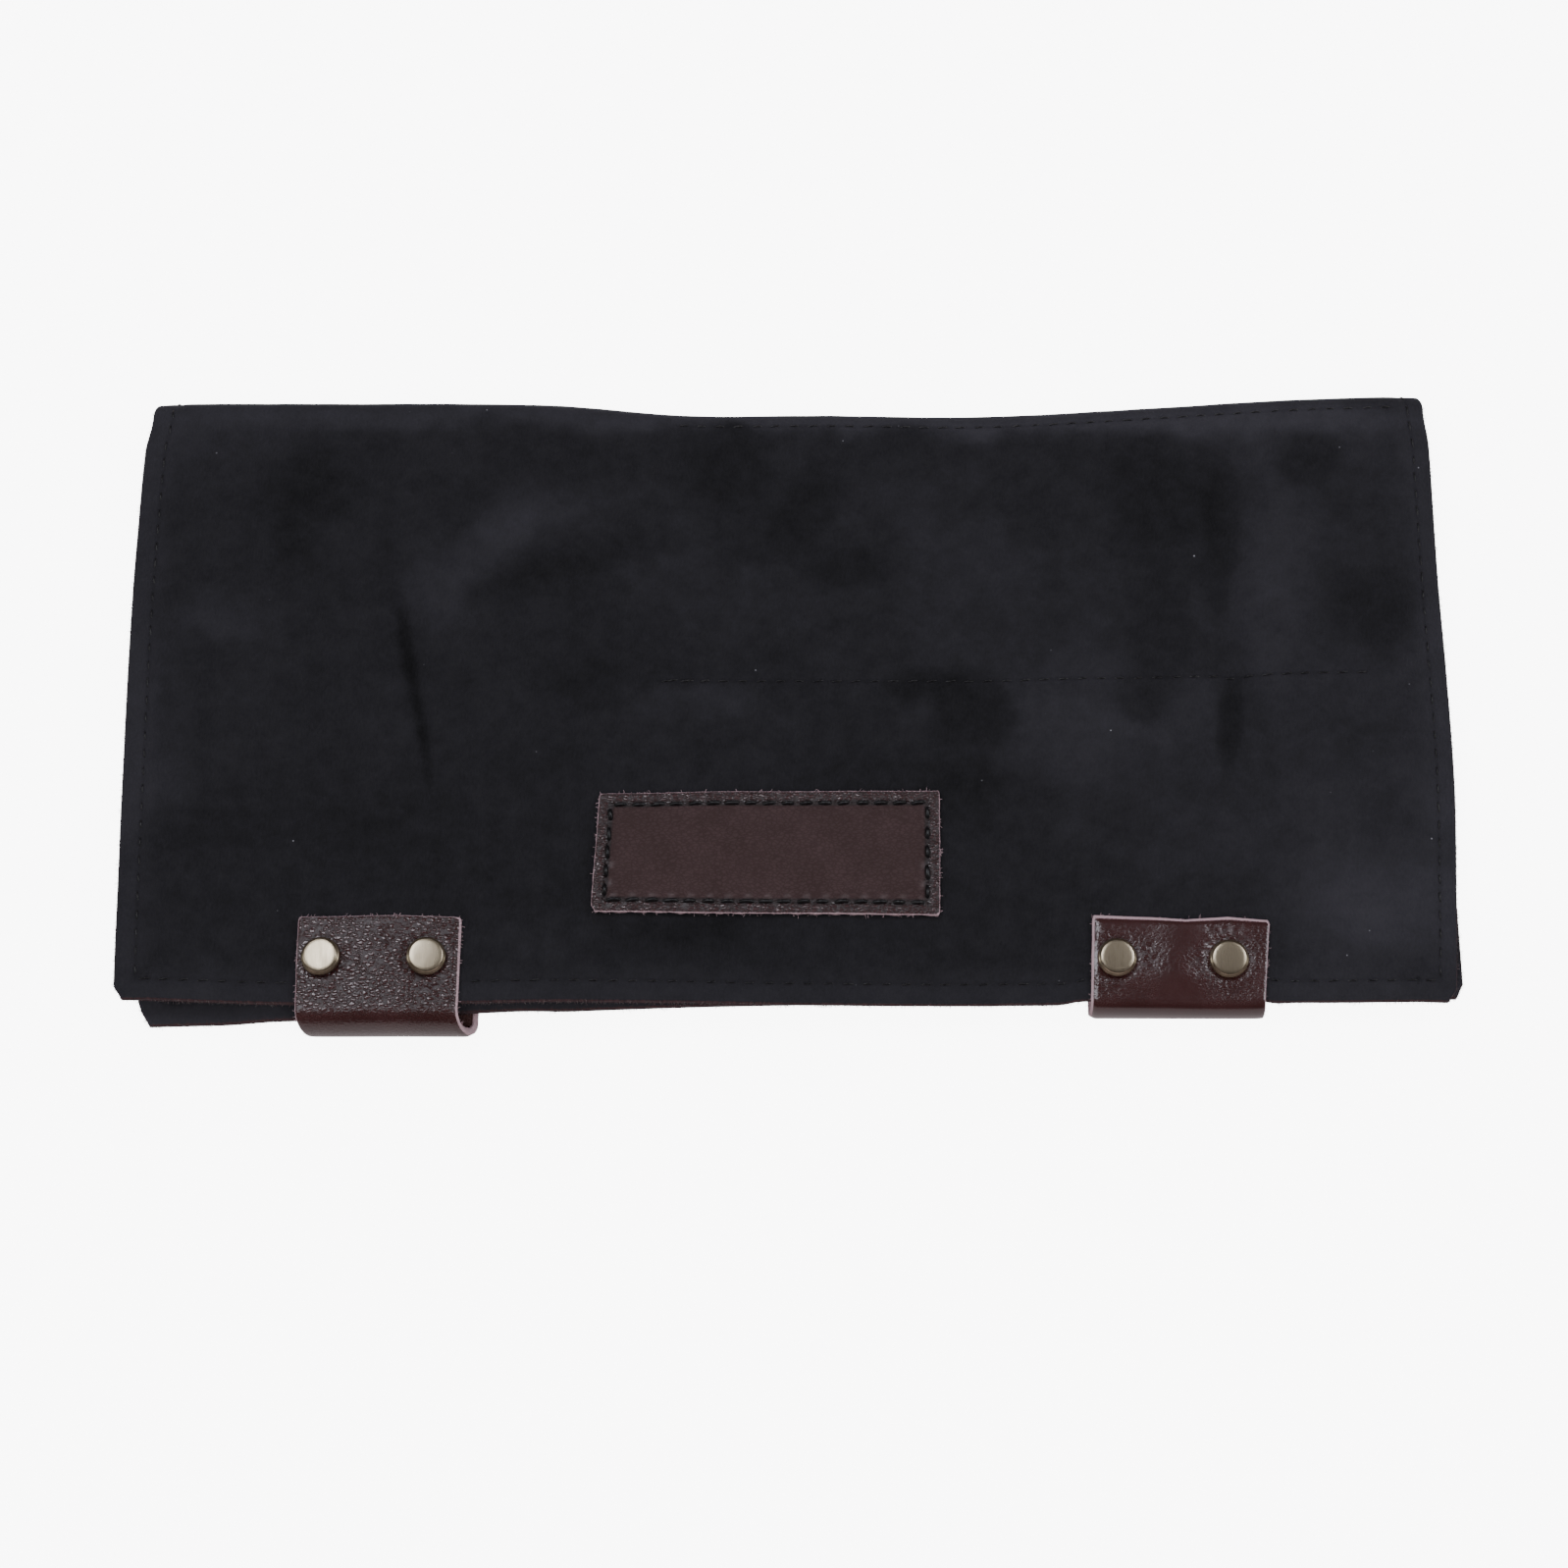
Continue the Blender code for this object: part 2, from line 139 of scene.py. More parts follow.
Tab = namedtuple("Tab", "name centre width flare lean slip reach pinch front_leg studs")
TABS = (
    Tab("tab_left", -0.603, 0.950, 0.012, 0.006, 0.099, 0.080, 0.0, 0.552, (-0.69, 0.594)),
    Tab("tab_right", 0.577, 1.030, 0.020, 0.030, 0.0, 0.032, 0.022, 0.496, (-0.70, 0.595)),
)

PATCH_MIDDLE = (-0.0143, -0.2705)
PATCH_CORNERS = {
    "lower_left": (-1.02, -0.98),
    "lower_right": (0.99, -1.01),
    "upper_left": (-0.98, 0.95),
    "upper_right": (1.00, 1.02),
}

# Slow waves of the flap's face that are too low for the solids: turns across the case's width and up
# its height, phase in radians, and height
Wave = namedtuple("Wave", "across up phase height")
WAVES = (
    Wave(3.1, 1.7, 4.0, 0.00016),
    Wave(5.3, -2.1, 0.4, 0.00013),
    Wave(8.9, 3.1, 2.1, 0.00008),
    Wave(11.1, -4.9, 5.1, 0.00005),
)

# Narrow creases of the flap: both ends as shares of the case's width and height, then metres
Crease = namedtuple("Crease", "start end half_width depth")
CREASES = (
    Crease((-0.304, 0.330), (-0.298, 0.160), 0.0018, 0.00010),
    Crease((-0.298, 0.160), (-0.281, -0.010), 0.0018, 0.00060),
    Crease((-0.281, -0.010), (-0.268, -0.150), 0.0015, 0.00050),
    Crease((0.340, 0.340), (0.336, 0.060), 0.0022, 0.00030),
    Crease((0.336, 0.060), (0.339, -0.115), 0.0026, 0.00090),
    Crease((0.131, -0.188), (0.205, -0.150), 0.0012, 0.00020),
    Crease((0.205, -0.150), (0.388, -0.132), 0.0014, 0.00016),
    Crease((0.120, -0.205), (0.176, -0.198), 0.0010, 0.00016),
    Crease((-0.100, 0.430), (0.060, 0.445), 0.0014, 0.00018),
)

# Where the two long creases stand along the case, as shares of its width, and how the mesh crowds
# towards them and towards its ends: reach and pull for the columns, amounts for the rows
CREASE_SHARES = (0.212, 0.838)
CROWDING_REACH = 0.022
CROWDING_PULL = 1.6
FLAP_CROWDING = 0.5
BACK_CROWDING = 0.3

# Strokes of brushed nap on the flap, some of them painted light and shade: middle and half sizes as shares
# of the case's width and height, lean of the long way in radians, how distinct the edge is, and tone from -1,
# dark, to 1, light
Stroke = namedtuple("Stroke", "across up half_width half_height lean edge tone")
STROKE_STRENGTH = 0.85
STROKES = (
    Stroke(-0.213, 0.268, 0.056, 0.047, 0.38, 2, 0.65),
    Stroke(-0.442, 0.112, 0.031, 0.034, 0.00, 2, 0.4),
    Stroke(-0.267, 0.169, 0.029, 0.063, 0.00, 3, 0.45),
    Stroke(-0.064, -0.021, 0.049, 0.039, 0.00, 2, 0.4),
    Stroke(0.213, -0.056, 0.066, 0.073, 0.00, 2, 0.45),
    Stroke(0.415, 0.431, 0.071, 0.072, 0.00, 2, 0.5),
    Stroke(0.380, 0.190, 0.026, 0.170, 0.00, 3, 0.40),
    Stroke(-0.470, -0.139, 0.031, 0.105, 0.00, 2, 0.3),
    # Painted light: a light band along the top fold, where it turns towards the light from above and behind
    Stroke(0.177, 0.460, 0.285, 0.013, 0.00, 2, 0.5),
    Stroke(0.434, -0.331, 0.054, 0.088, 0.00, 2, 0.3),
    Stroke(0.097, 0.291, 0.050, 0.095, 0.00, 2, 0.2),
    Stroke(-0.370, 0.331, 0.037, 0.061, 0.00, 4, -0.7),
    Stroke(-0.376, 0.237, 0.016, 0.047, 0.26, 3, -0.6),
    Stroke(-0.163, 0.205, 0.084, 0.031, 0.31, 3, -0.6),
    Stroke(-0.113, 0.104, 0.042, 0.086, 0.00, 2, -0.3),
    Stroke(-0.051, 0.378, 0.034, 0.058, 0.00, 4, -0.6),
    Stroke(0.014, 0.291, 0.025, 0.080, -0.52, 4, -0.6),
    Stroke(0.048, 0.205, 0.031, 0.031, 0.00, 4, -0.6),
    Stroke(0.289, 0.323, 0.044, 0.095, -0.35, 3, -0.6),
    Stroke(0.278, 0.120, 0.032, 0.124, 0.00, 2, -0.4),
    # Painted shade in the upper part of the right crease
    Stroke(0.332, 0.268, 0.014, 0.150, 0.00, 4, -0.6),
    Stroke(0.404, 0.390, 0.023, 0.048, 0.00, 4, -0.6),
    Stroke(0.454, 0.135, 0.031, 0.068, 0.00, 3, -0.6),
    Stroke(0.106, 0.010, 0.028, 0.024, 0.00, 5, -0.9),
    Stroke(0.141, -0.045, 0.028, 0.052, -0.35, 5, -0.9),
    Stroke(-0.147, 0.005, 0.035, 0.043, 0.00, 3, -0.5),
    Stroke(0.262, -0.010, 0.021, 0.036, 0.00, 4, -0.45),
    # Painted shade: dark narrow strokes in the hollows of the right and left creases
    Stroke(0.337, -0.050, 0.009, 0.075, -0.08, 4, -0.95),
    Stroke(-0.289, 0.055, 0.0055, 0.085, 0.18, 3, -1.15),
    Stroke(-0.275, -0.080, 0.004, 0.080, 0.16, 3, -1.1),
    Stroke(-0.306, 0.230, 0.008, 0.110, 0.07, 2, -0.35),
    Stroke(-0.440, -0.228, 0.041, 0.039, 0.00, 3, -0.4),
    Stroke(-0.310, -0.228, 0.069, 0.053, 0.00, 2, -0.4),
    Stroke(-0.069, -0.393, 0.032, 0.029, 0.00, 4, -0.5),
    Stroke(0.129, -0.154, 0.027, 0.036, 0.00, 3, -0.4),
    Stroke(-0.090, -0.353, 0.330, 0.120, 0.00, 2, -0.40),
    Stroke(0.352, -0.033, 0.180, 0.420, 0.00, 2, 0.30),
    Stroke(-0.450, 0.431, 0.085, 0.077, 0.00, 2, 0.30),
    # Painted sheen along the left and right margins, where the rolled suede turns towards the light
    Stroke(-0.492, 0.012, 0.020, 0.500, 0.00, 2, 0.25),
    Stroke(0.488, 0.012, 0.026, 0.500, 0.00, 2, 0.35),
    Stroke(-0.089, 0.179, 0.049, 0.116, 0.00, 3, 0.30),
    Stroke(0.132, 0.151, 0.063, 0.124, 0.00, 2, 0.18),
    Stroke(0.440, -0.353, 0.075, 0.133, 0.00, 2, 0.50),
    Stroke(-0.178, -0.407, 0.051, 0.052, 0.00, 3, 0.28),
    Stroke(0.053, -0.397, 0.065, 0.055, 0.00, 3, 0.20),
    Stroke(0.244, 0.135, 0.021, 0.315, 0.00, 2, 0.12),
    # Painted light along the top fold, where it turns towards the light from above and behind
    Stroke(0.177, 0.474, 0.320, 0.034, 0.00, 3, 1.10),
    Stroke(-0.301, 0.474, 0.236, 0.030, 0.00, 3, 0.65),
    Stroke(0.074, -0.170, 0.100, 0.070, 0.00, 3, -0.40),
    Stroke(-0.188, -0.139, 0.041, 0.061, 0.00, 3, -0.30),
)

# Noise that sways the wide strokes' edges, and noise that tones the nap between them: size of its
# lumps, sway in metres or change of tone, and seed
WIDE_STROKE = 0.030
STROKE_SWAY = ((0.016, 0.0038, 1), (0.005, 0.0020, 3))
NAP_NOISE = ((0.022, 0.08, 5), (0.009, 0.08, 6))

# Seams: how far the stitches stand in from each edge, and the two lines that cross the flap
STITCH_PITCH = 0.0043
SEAM_LEFT = 0.0046
SEAM_RIGHT = 0.0037
SEAM_HEM = 0.0046
MID_SEAM = ((-0.0295, 0.0016), (0.0442, 0.0018), (0.1331, 0.0044))
TOP_SEAM_TURN = 0.045
TOP_SEAM_ENDS = (-0.18, 0.955)
PATCH_SEAM = 0.0027
TAB_SEAM = 0.0035
FOLD_RADIUS = 0.0062

# Relief of the suede: how far over the fold the front's relief goes, on the scale of the strip, then
# grooves along the seams, the rolled margin outside them, and soft lumps
FRONT_END = 1.2
SIDE_MARGIN = 0.008
EDGE_GROOVE_WIDTH = 0.0011
LINE_GROOVE_WIDTH = 0.0012
GROOVE_DEPTH = 0.00016
ROLL_WIDTH = 0.0046
ROLL_DEPTH = 0.00014
LUMP_SIZE = 0.006
LUMP_HEIGHT = 0.00007

# Relief of the leather: place as the distance from a seam, an edge or a stud's middle, width and rise
Relief = namedtuple("Relief", "place width rise")
CAP_RELIEF = (Relief(0.0, 0.0046, -0.00022), Relief(0.0060, 0.0011, 0.00016))
CAP_FOLDS = Relief(0.0066, 0.0018, 0.00005)
CAP_FOLD_COUNT = 17
CAP_GRAIN_WIDTH = 0.0074
TAB_EDGE = Relief(0.0, 0.0007, -0.00010)
PATCH_EDGE = Relief(0.0, 0.0006, -0.00014)
PATCH_GROOVE = Relief(0.0, 0.0008, -0.00032)
PATCH_PUCKER = Relief(-0.0012, 0.0010, 0.00016)
PATCH_INNER_PUCKER = Relief(0.0010, 0.0006, 0.00012)
RUBBED_EDGE_WIDTH = 0.0012
BORDER_WIDTH = 0.0012
BORDER_OVERLAP = 0.0004

# Tabs: waviness of each front edge, as shifts up the flap at places across it, its small corners, the
# length that sets the rows round the turn, the pared edge that shows the raw core, and the swell
# between the studs, with the strength of the grain there
TAB_FRONT_WAVE = {
    "tab_left": ((-1.0, -0.4, 0.3, 1.0), (0.0001, -0.0002, 0.0001, -0.0001)),
    "tab_right": ((-1.0, -0.35, 0.05, 0.55, 1.0), (0.0005, 0.0001, -0.0005, 0.0003, -0.0004)),
}
TAB_CORNER = 0.0004
TAB_TURN_LENGTH = 0.0150
SKIVED_WIDTH = 0.0012
SKIVED_DEPTH = 0.00050
SWELL_WIDTH = 0.42
Swell = namedtuple("Swell", "across rise skived_front grain")
TAB_SWELLS = {
    "tab_left": Swell(0.15, -0.00025, 0.0, 1.0),
    "tab_right": Swell(0.04, 0.00095, 1.0, 0.10),
}

# Finish of each leather: roughness, shine, how much glossier its rubbed places are and how even its
# colour is, all from 0 to 1, and the width of its grain as a share of the set width
Finish = namedtuple("Finish", "roughness shine polish calm grain")
TAB_FINISH = Finish(0.23, 0.85, 0.06, 0.35, 1.0)
PATCH_FINISH = Finish(0.80, 0.62, 0.78, 0.3, 0.9)

# Loose fibres: thickness, longest leather fibre, how far roots stand out of the edge, counts, and how
# far fibres and threads may reach under the case
FIBRE_THICKNESS = 0.00007
LEATHER_FIBRE_LENGTH = 0.0009
FIBRE_ROOT = 0.00012
TAB_FIBRES = 240
PATCH_FIBRES = 170
PRESSED_DEPTH = 0.00018

# Stage: half the floor's width and its height, the camera's sensor in millimetres, and tints of light
FLOOR_REACH = 30.0
FLOOR_LEVEL = -0.0002
SENSOR_WIDTH = 36.0
BACK_TINT = (0.90, 0.92, 1.0)
TABLE_TINT = (1.0, 0.88, 0.90)

# Cut edges: depth through the wall as a share of it, and how far the edge stands out there
EdgeStep = namedtuple("EdgeStep", "depth out")
SUEDE_EDGE = (
    EdgeStep(0.06, 0.00014),
    EdgeStep(0.22, 0.00026),
    EdgeStep(0.42, 0.00022),
    EdgeStep(0.50, 0.00008),
    EdgeStep(0.58, 0.00022),
    EdgeStep(0.78, 0.00026),
    EdgeStep(0.94, 0.00014),
)
LEATHER_EDGE = (
    EdgeStep(0.05, 0.00010),
    EdgeStep(0.20, 0.00018),
    EdgeStep(0.55, 0.00020),
    EdgeStep(0.88, 0.00014),
    EdgeStep(0.97, 0.00006),
)

# Turned outline of a stud's cap, as shares of its radius and height
StudPoint = namedtuple("StudPoint", "radius height")
CAP_OUTLINE = (
    StudPoint(0.90, 0.00),
    StudPoint(0.960, 0.03),
    StudPoint(0.988, 0.10),
    StudPoint(1.000, 0.22),
    StudPoint(0.998, 0.36),
    StudPoint(0.984, 0.50),
    StudPoint(0.962, 0.61),
    StudPoint(0.936, 0.68),
    StudPoint(0.910, 0.705),
    StudPoint(0.894, 0.76),
    StudPoint(0.876, 0.85),
    StudPoint(0.850, 0.915),
    StudPoint(0.805, 0.950),
    StudPoint(0.66, 0.972),
    StudPoint(0.46, 0.988),
    StudPoint(0.24, 0.997),
)


# Sizes and colours that a user may change

def number_setting(name, description, default, **units):
    return FloatProperty(name=name, description=description, default=default, min=0.0, **units)


def size_setting(name, description, default):
    return number_setting(name, description, default, precision=5, unit="LENGTH", subtype="DISTANCE")


def angle_setting(name, description, degrees):
    return FloatProperty(
        name=name, description=description, default=math.radians(degrees), unit="ROTATION", subtype="ANGLE"
    )


def colour_setting(name, description, default):
    return FloatVectorProperty(
        name=name, description=description, default=default, size=3, min=0.0, max=1.0, subtype="COLOR"
    )


def count_setting(name, description, default, least):
    return IntProperty(name=name, description=description, default=default, min=least)


class SuedeSettings(bpy.types.PropertyGroup):
    """Suede of the case"""

    thickness: size_setting("Thickness", "Both leather layers of the wall together", SUEDE_THICKNESS)
    # The tone between these two colours is the nap's own tone, and also painted light and shade: a lit band
    # along the fold, sheen on the margins, shade in the creases and light on the back panel's hem
    dark: colour_setting("Dark nap", "Suede brushed towards the viewer", (0.0060, 0.0060, 0.0064))
    light: colour_setting("Light nap", "Suede brushed away from the viewer", (0.0380, 0.0365, 0.0440))
    cut: colour_setting("Cut edge", "Raw edge of the suede", (0.072, 0.038, 0.040))
    columns: count_setting("Columns", "Mesh columns along the case", 236, 40)
    flap_rows: count_setting("Flap rows", "Mesh rows from the hem to the fold", 116, 20)
    fold_rows: count_setting("Fold rows", "Mesh rows round the fold", 16, 8)
    back_rows: count_setting("Back rows", "Mesh rows down the back panel", 34, 10)
    fuzz_count: count_setting("Edge fibres", "Loose fibres along the cut edges", 5200, 0)
    fuzz_length: size_setting("Fibre length", "Longest loose fibre of a cut edge", 0.00085)


class StitchSettings(bpy.types.PropertyGroup):
    """Threads of the seams"""

    pitch: size_setting("Pitch", "From one stitch to the next", STITCH_PITCH)
    suede_length: size_setting("Suede stitch", "Length of a stitch that shows on the suede", 0.0023)
    suede_thread: size_setting("Suede thread", "Thickness of the thread on the suede", 0.00038)
    patch_length: size_setting("Patch stitch", "Length of a stitch that shows on the patch", 0.0031)
    patch_thread: size_setting("Patch thread", "Thickness of the thread on the patch", 0.00100)
    slant: angle_setting("Slant", "Turn of each stitch away from its seam", 4.0)
    colour: colour_setting("Thread", "Colour of the waxed thread", (0.0022, 0.0020, 0.0022))


class LeatherSettings(bpy.types.PropertyGroup):
    """Leather of the tabs and the patch"""

    tab: colour_setting("Tab", "Brown grain side of the closing tabs", (0.029, 0.0078, 0.0075))
    tab_worn: colour_setting("Tab, rubbed", "Rubbed places of the tabs", (0.050, 0.017, 0.018))
    patch: colour_setting("Patch", "Brown grain side of the patch", (0.026, 0.0105, 0.0100))
    # The patch's rubbed colour is partly its rubbed border's own colour and partly painted sheen and glints
    patch_worn_and_sheen: colour_setting("Patch, rubbed", "Rubbed border of the patch", (0.054, 0.029, 0.031))
    cut: colour_setting("Cut edge", "Raw core of the leather at its cut edges", (0.54, 0.37, 0.41))
    inside: colour_setting("Flesh side", "Under side of the leather", (0.060, 0.030, 0.028))
    grain: size_setting("Grain", "Width of one pebble of the grain", 0.00070)
    cell: size_setting("Mesh cell", "Spacing of the tabs' and patch's mesh", 0.00048)


class StudSettings(bpy.types.PropertyGroup):
    """Press studs"""

    brass: colour_setting("Brass", "Brushed antique brass", (0.53, 0.455, 0.325))
    # The patina colour also paints the caps' broad dark bands, a painted shade of their reflection
    patina: colour_setting("Patina", "Darker brass between the brush marks", (0.18, 0.145, 0.095))
    sides: count_setting("Sides", "Sides of the turned caps", 72, 12)


class StageSettings(bpy.types.PropertyGroup):
    """Camera, lights and floor"""

    elevation: angle_setting("Camera elevation", "Angle of the camera over the floor", 70.0)
    distance: size_setting("Camera distance", "From the camera to the point it looks at", 0.8465)
    lens: number_setting("Lens", "Focal length on a 36 mm wide sensor", 85.0, unit="CAMERA")
    aim: FloatVectorProperty(
        name="Aim", description="Point on the floor that the camera looks at",
        default=(-0.0010, -0.0167, 0.0), size=3, subtype="TRANSLATION", unit="LENGTH", precision=5,
    )
    front_power: number_setting("Front light", "Power of the broad soft box", 11.9)
    back_power: number_setting("Back lights", "Power of each soft box behind", 5.0)
    side_power: number_setting("Side lights", "Power of each soft strip", 1.4)
    room: number_setting("Room light", "Even light from above and all round", 0.09)
    table: number_setting("Table light", "Even light from below, as off a pale table", 0.8)
    floor: colour_setting("Floor", "Pale floor", (0.82, 0.82, 0.83))
    floor_glow: number_setting("Floor glow", "Light that the floor adds", 8.0)


# Shape of the case

def eased(share):
    """Ease from 0 to 1, level at both ends."""
    t = np.clip(share, 0.0, 1.0)
    return t * t * (3.0 - 2.0 * t)


def bell(away, width):
    """1 at no distance, falling smoothly to 0 within about twice the width."""
    return np.exp(-((away / width) ** 2))


def run_along(points):
    """Distance run from the first point to each point of a line."""
    return np.concatenate([[0.0], np.cumsum(np.linalg.norm(np.diff(points, axis=0), axis=-1))])


def in_plane(x, y):
    """Points of the plane, for reading noise."""
    return np.stack([x, y, np.zeros_like(x)], axis=-1)


def joined(found):
    """Points, ways along and ways up of several groups, each in one array."""
    return [np.concatenate(parts) for parts in zip(*found)]


def read_table(rows, column, at):
    """Values of a column at places along the table, on a curve through its rows."""
    places = np.array([row[0] for row in rows])
    values = np.array([getattr(row, column) for row in rows])
    low = np.maximum(np.arange(len(rows)) - 1, 0)
    high = np.minimum(np.arange(len(rows)) + 1, len(rows) - 1)
    slopes = (values[high] - values[low]) / (places[high] - places[low])
    at = np.clip(at, places[0], places[-1])
    i = np.clip(np.searchsorted(places, at, side="right") - 1, 0, len(rows) - 2)
    span = places[i + 1] - places[i]
    t = (at - places[i]) / span
    return (
        (1 + 2 * t) * (1 - t) ** 2 * values[i]
        + t * (1 - t) ** 2 * span * slopes[i]
        + t * t * (3 - 2 * t) * values[i + 1]
        + t * t * (t - 1) * span * slopes[i + 1]
    )


def tab_x(tab):
    return tab.centre * CASE_WIDTH / 2


def tab_half_width(tab):
    return tab.width * TAB_WIDTH / 2


def near_tab(tab, x, spread):
    """1 within a tab's width, easing to 0 over a spread beyond it."""
    return 1 - eased((np.abs(x - tab_x(tab)) - tab_half_width(tab)) / spread)


def fold_line(along):
    """Furthest reach of the fold, up the case."""
    return CASE_HEIGHT * (0.5 + read_table(SECTIONS, "fold", along))


def hem_line(along):
    """Edge of the flap, which a tight tab pushes up."""
    push = sum(tab.pinch * TAB_WIDTH * near_tab(tab, along * CASE_WIDTH / 2, PINCH_SPREAD) for tab in TABS)
    return CASE_HEIGHT * (-0.5 + read_table(SECTIONS, "hem", along)) + push


def back_hem_line(along):
    return CASE_HEIGHT * (-0.5 + read_table(SECTIONS, "back_hem", along))


def tab_turn(tab):
    """Where the tab starts to turn under the hem: below both panels' edges over its whole width."""
    places = np.array([(tab_x(tab) + side * tab_half_width(tab)) * 2 / CASE_WIDTH for side in (-1, 0, 1)])
    return min(hem_line(places).min(), back_hem_line(places).min()) - CLEARANCE


def stud_middles():
    """Name, place on the flap and tab of each press stud."""
    for tab in TABS:
        for number, share in enumerate(tab.studs, start=1):
            x = tab_x(tab) + share * tab_half_width(tab)
            y = tab_turn(tab) + tab.front_leg * TAB_WIDTH - SNAP_FROM_TAB_END
            yield f"{tab.name.replace('tab', 'snap')}_{number}", x, y, tab


def dent_rise(x, y):
    """Rise of the flap from its creases and swells."""
    total = np.zeros_like(x)
    for dent in DENTS:
        dx = x - dent.across * CASE_WIDTH
        dy = y - dent.up * CASE_HEIGHT
        across = (dx * math.cos(dent.lean) + dy * math.sin(dent.lean)) / (dent.half_width * CASE_WIDTH)
        up = (dy * math.cos(dent.lean) - dx * math.sin(dent.lean)) / (dent.half_height * CASE_HEIGHT)
        total += dent.rise * INNER_ROOM * np.exp(-across * across - up * up)
    return total


def slow_waves(x, y):
    total = np.zeros_like(x)
    for wave in WAVES:
        turns = wave.across * x / CASE_WIDTH + wave.up * y / CASE_HEIGHT
        total += wave.height * np.sin(2 * math.pi * turns + wave.phase)
    return total


def flap_height(x, y):
    """Height of the flap's outer face over the floor, without its seams and narrow creases."""
    x, y = np.broadcast_arrays(np.asarray(x, float), np.asarray(y, float))
    along = 2 * x / CASE_WIDTH
    top, bottom = fold_line(along) - FOLD_DEPTH, hem_line(along)
    down = np.clip((top - y) / (top - bottom), 0.0, 1.0)
    room = (
        read_table(SECTIONS, "crest", along) * (1 - down) * (1 - 2 * down)
        + read_table(SECTIONS, "belly", along) * 4 * down * (1 - down)
        + read_table(SECTIONS, "brim", along) * down * (2 * down - 1)
    )
    inset = CASE_WIDTH / 2 - np.abs(x)
    droop = EDGE_DROOP * (1 - eased(inset / EDGE_DROOP_WIDTH))
    uneven = (dent_rise(x, y) + slow_waves(x, y)) * eased(6 * down)
    return CLOSED_HEIGHT + INNER_ROOM * room + uneven - droop


def tab_bed(x, y):
    """Height of the back panel, which lifts off the floor over the tabs' back legs."""
    lift = np.zeros_like(x)
    for tab in TABS:
        aside = np.abs(x - tab_x(tab) - tab.slip * TAB_WIDTH) - tab_half_width(tab) - TAB_BED_MARGIN
        above = y - tab_turn(tab) - TAB_BACK_LEG - TAB_BED_MARGIN
        near = (1 - eased(aside / TAB_BED_SLOPE)) * (1 - eased(above / TAB_BED_SLOPE))
        lift = np.maximum(lift, near)
    return TAB_BED * lift


def rounding(from_hem, corner):
    """How far a rounded corner stands in from the side at a distance from the hem."""
    return corner * (1 - eased(from_hem / (CORNER_STRETCH * corner))) ** 1.5


def side_edges(place, from_hem, left_corner):
    """Left and right edge of the sheet."""
    left = CASE_WIDTH * (-0.5 + read_table(SIDES, "left", place)) + rounding(from_hem, left_corner)
    right = CASE_WIDTH * (0.5 - read_table(SIDES, "right", place)) - rounding(from_hem, HEM_CORNER)
    return left, right


def sheet_points(along, strip):
    """Points of the suede's outer face. strip runs from the flap's hem (0) to the fold's start (1), round
    the fold (2) and down to the back hem (3)."""
    along, strip = np.broadcast_arrays(along, strip)
    top = fold_line(along) - FOLD_DEPTH
    hem, back_hem = hem_line(along), back_hem_line(along)

    share = np.clip(strip, 0.0, 1.0)
    flap_y = hem + (top - hem) * share
    left, right = side_edges(share, flap_y - hem, HEM_CORNER)
    flap_x = left + (right - left) * (along + 1) / 2
    flap = np.stack([flap_x, flap_y, flap_height(flap_x, flap_y)], axis=-1)

    turn = math.pi * np.clip(strip - 1, 0.0, 1.0)
    left, right = side_edges(np.ones_like(along), np.full_like(along, CASE_HEIGHT), HEM_CORNER)
    round_off = FOLD_CORNER * np.sin(turn) ** 3
    fold_x = left + round_off + (right - left - 2 * round_off) * (along + 1) / 2
    half = flap_height(fold_x, top) / 2
    fold = np.stack([fold_x, top + FOLD_DEPTH * np.sin(turn), half + half * np.cos(turn)], axis=-1)

    share = np.clip(strip - 2, 0.0, 1.0)
    back_y = top + (back_hem - top) * share
    left, right = side_edges(1 + share, back_y - back_hem, BACK_CORNER)
    back_x = left + (right - left) * (along + 1) / 2
    back = np.stack([back_x, back_y, tab_bed(back_x, back_y)], axis=-1)

    on_the_flap, on_the_fold = (strip <= 1)[..., None], (strip < 2)[..., None]
    return np.where(on_the_flap, flap, np.where(on_the_fold, fold, back))


def on_flap(x, y, lift):
    """Points at a lift over the flap, square to its face."""
    x, y = np.broadcast_arrays(np.asarray(x, float), np.asarray(y, float))
    rise_x = (flap_height(x + SLOPE_STEP, y) - flap_height(x - SLOPE_STEP, y)) / (2 * SLOPE_STEP)
    rise_y = (flap_height(x, y + SLOPE_STEP) - flap_height(x, y - SLOPE_STEP)) / (2 * SLOPE_STEP)
    up = np.stack([-rise_x, -rise_y, np.ones_like(x)], axis=-1)
    up /= np.linalg.norm(up, axis=-1, keepdims=True)
    return np.stack([x, y, flap_height(x, y)], axis=-1) + up * lift


def case_shift():
    """From the part's own frame to the packed model's, found from the back panel's and flap's edges."""
    along = np.linspace(-1, 1, 401)
    outline = sheet_points(along[None, :], np.linspace(0, 3, 301)[:, None]).reshape(-1, 3)
    low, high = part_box("case_body")
    middle = (outline.min(axis=0) + outline.max(axis=0)) / 2
    return np.array([(low.x + high.x) / 2 - middle[0], (low.y + high.y) / 2 - middle[1], low.z])


# Faces laid out in rows and columns

def unit(vectors):
    return vectors / np.maximum(np.linalg.norm(vectors, axis=-1, keepdims=True), 1e-12)


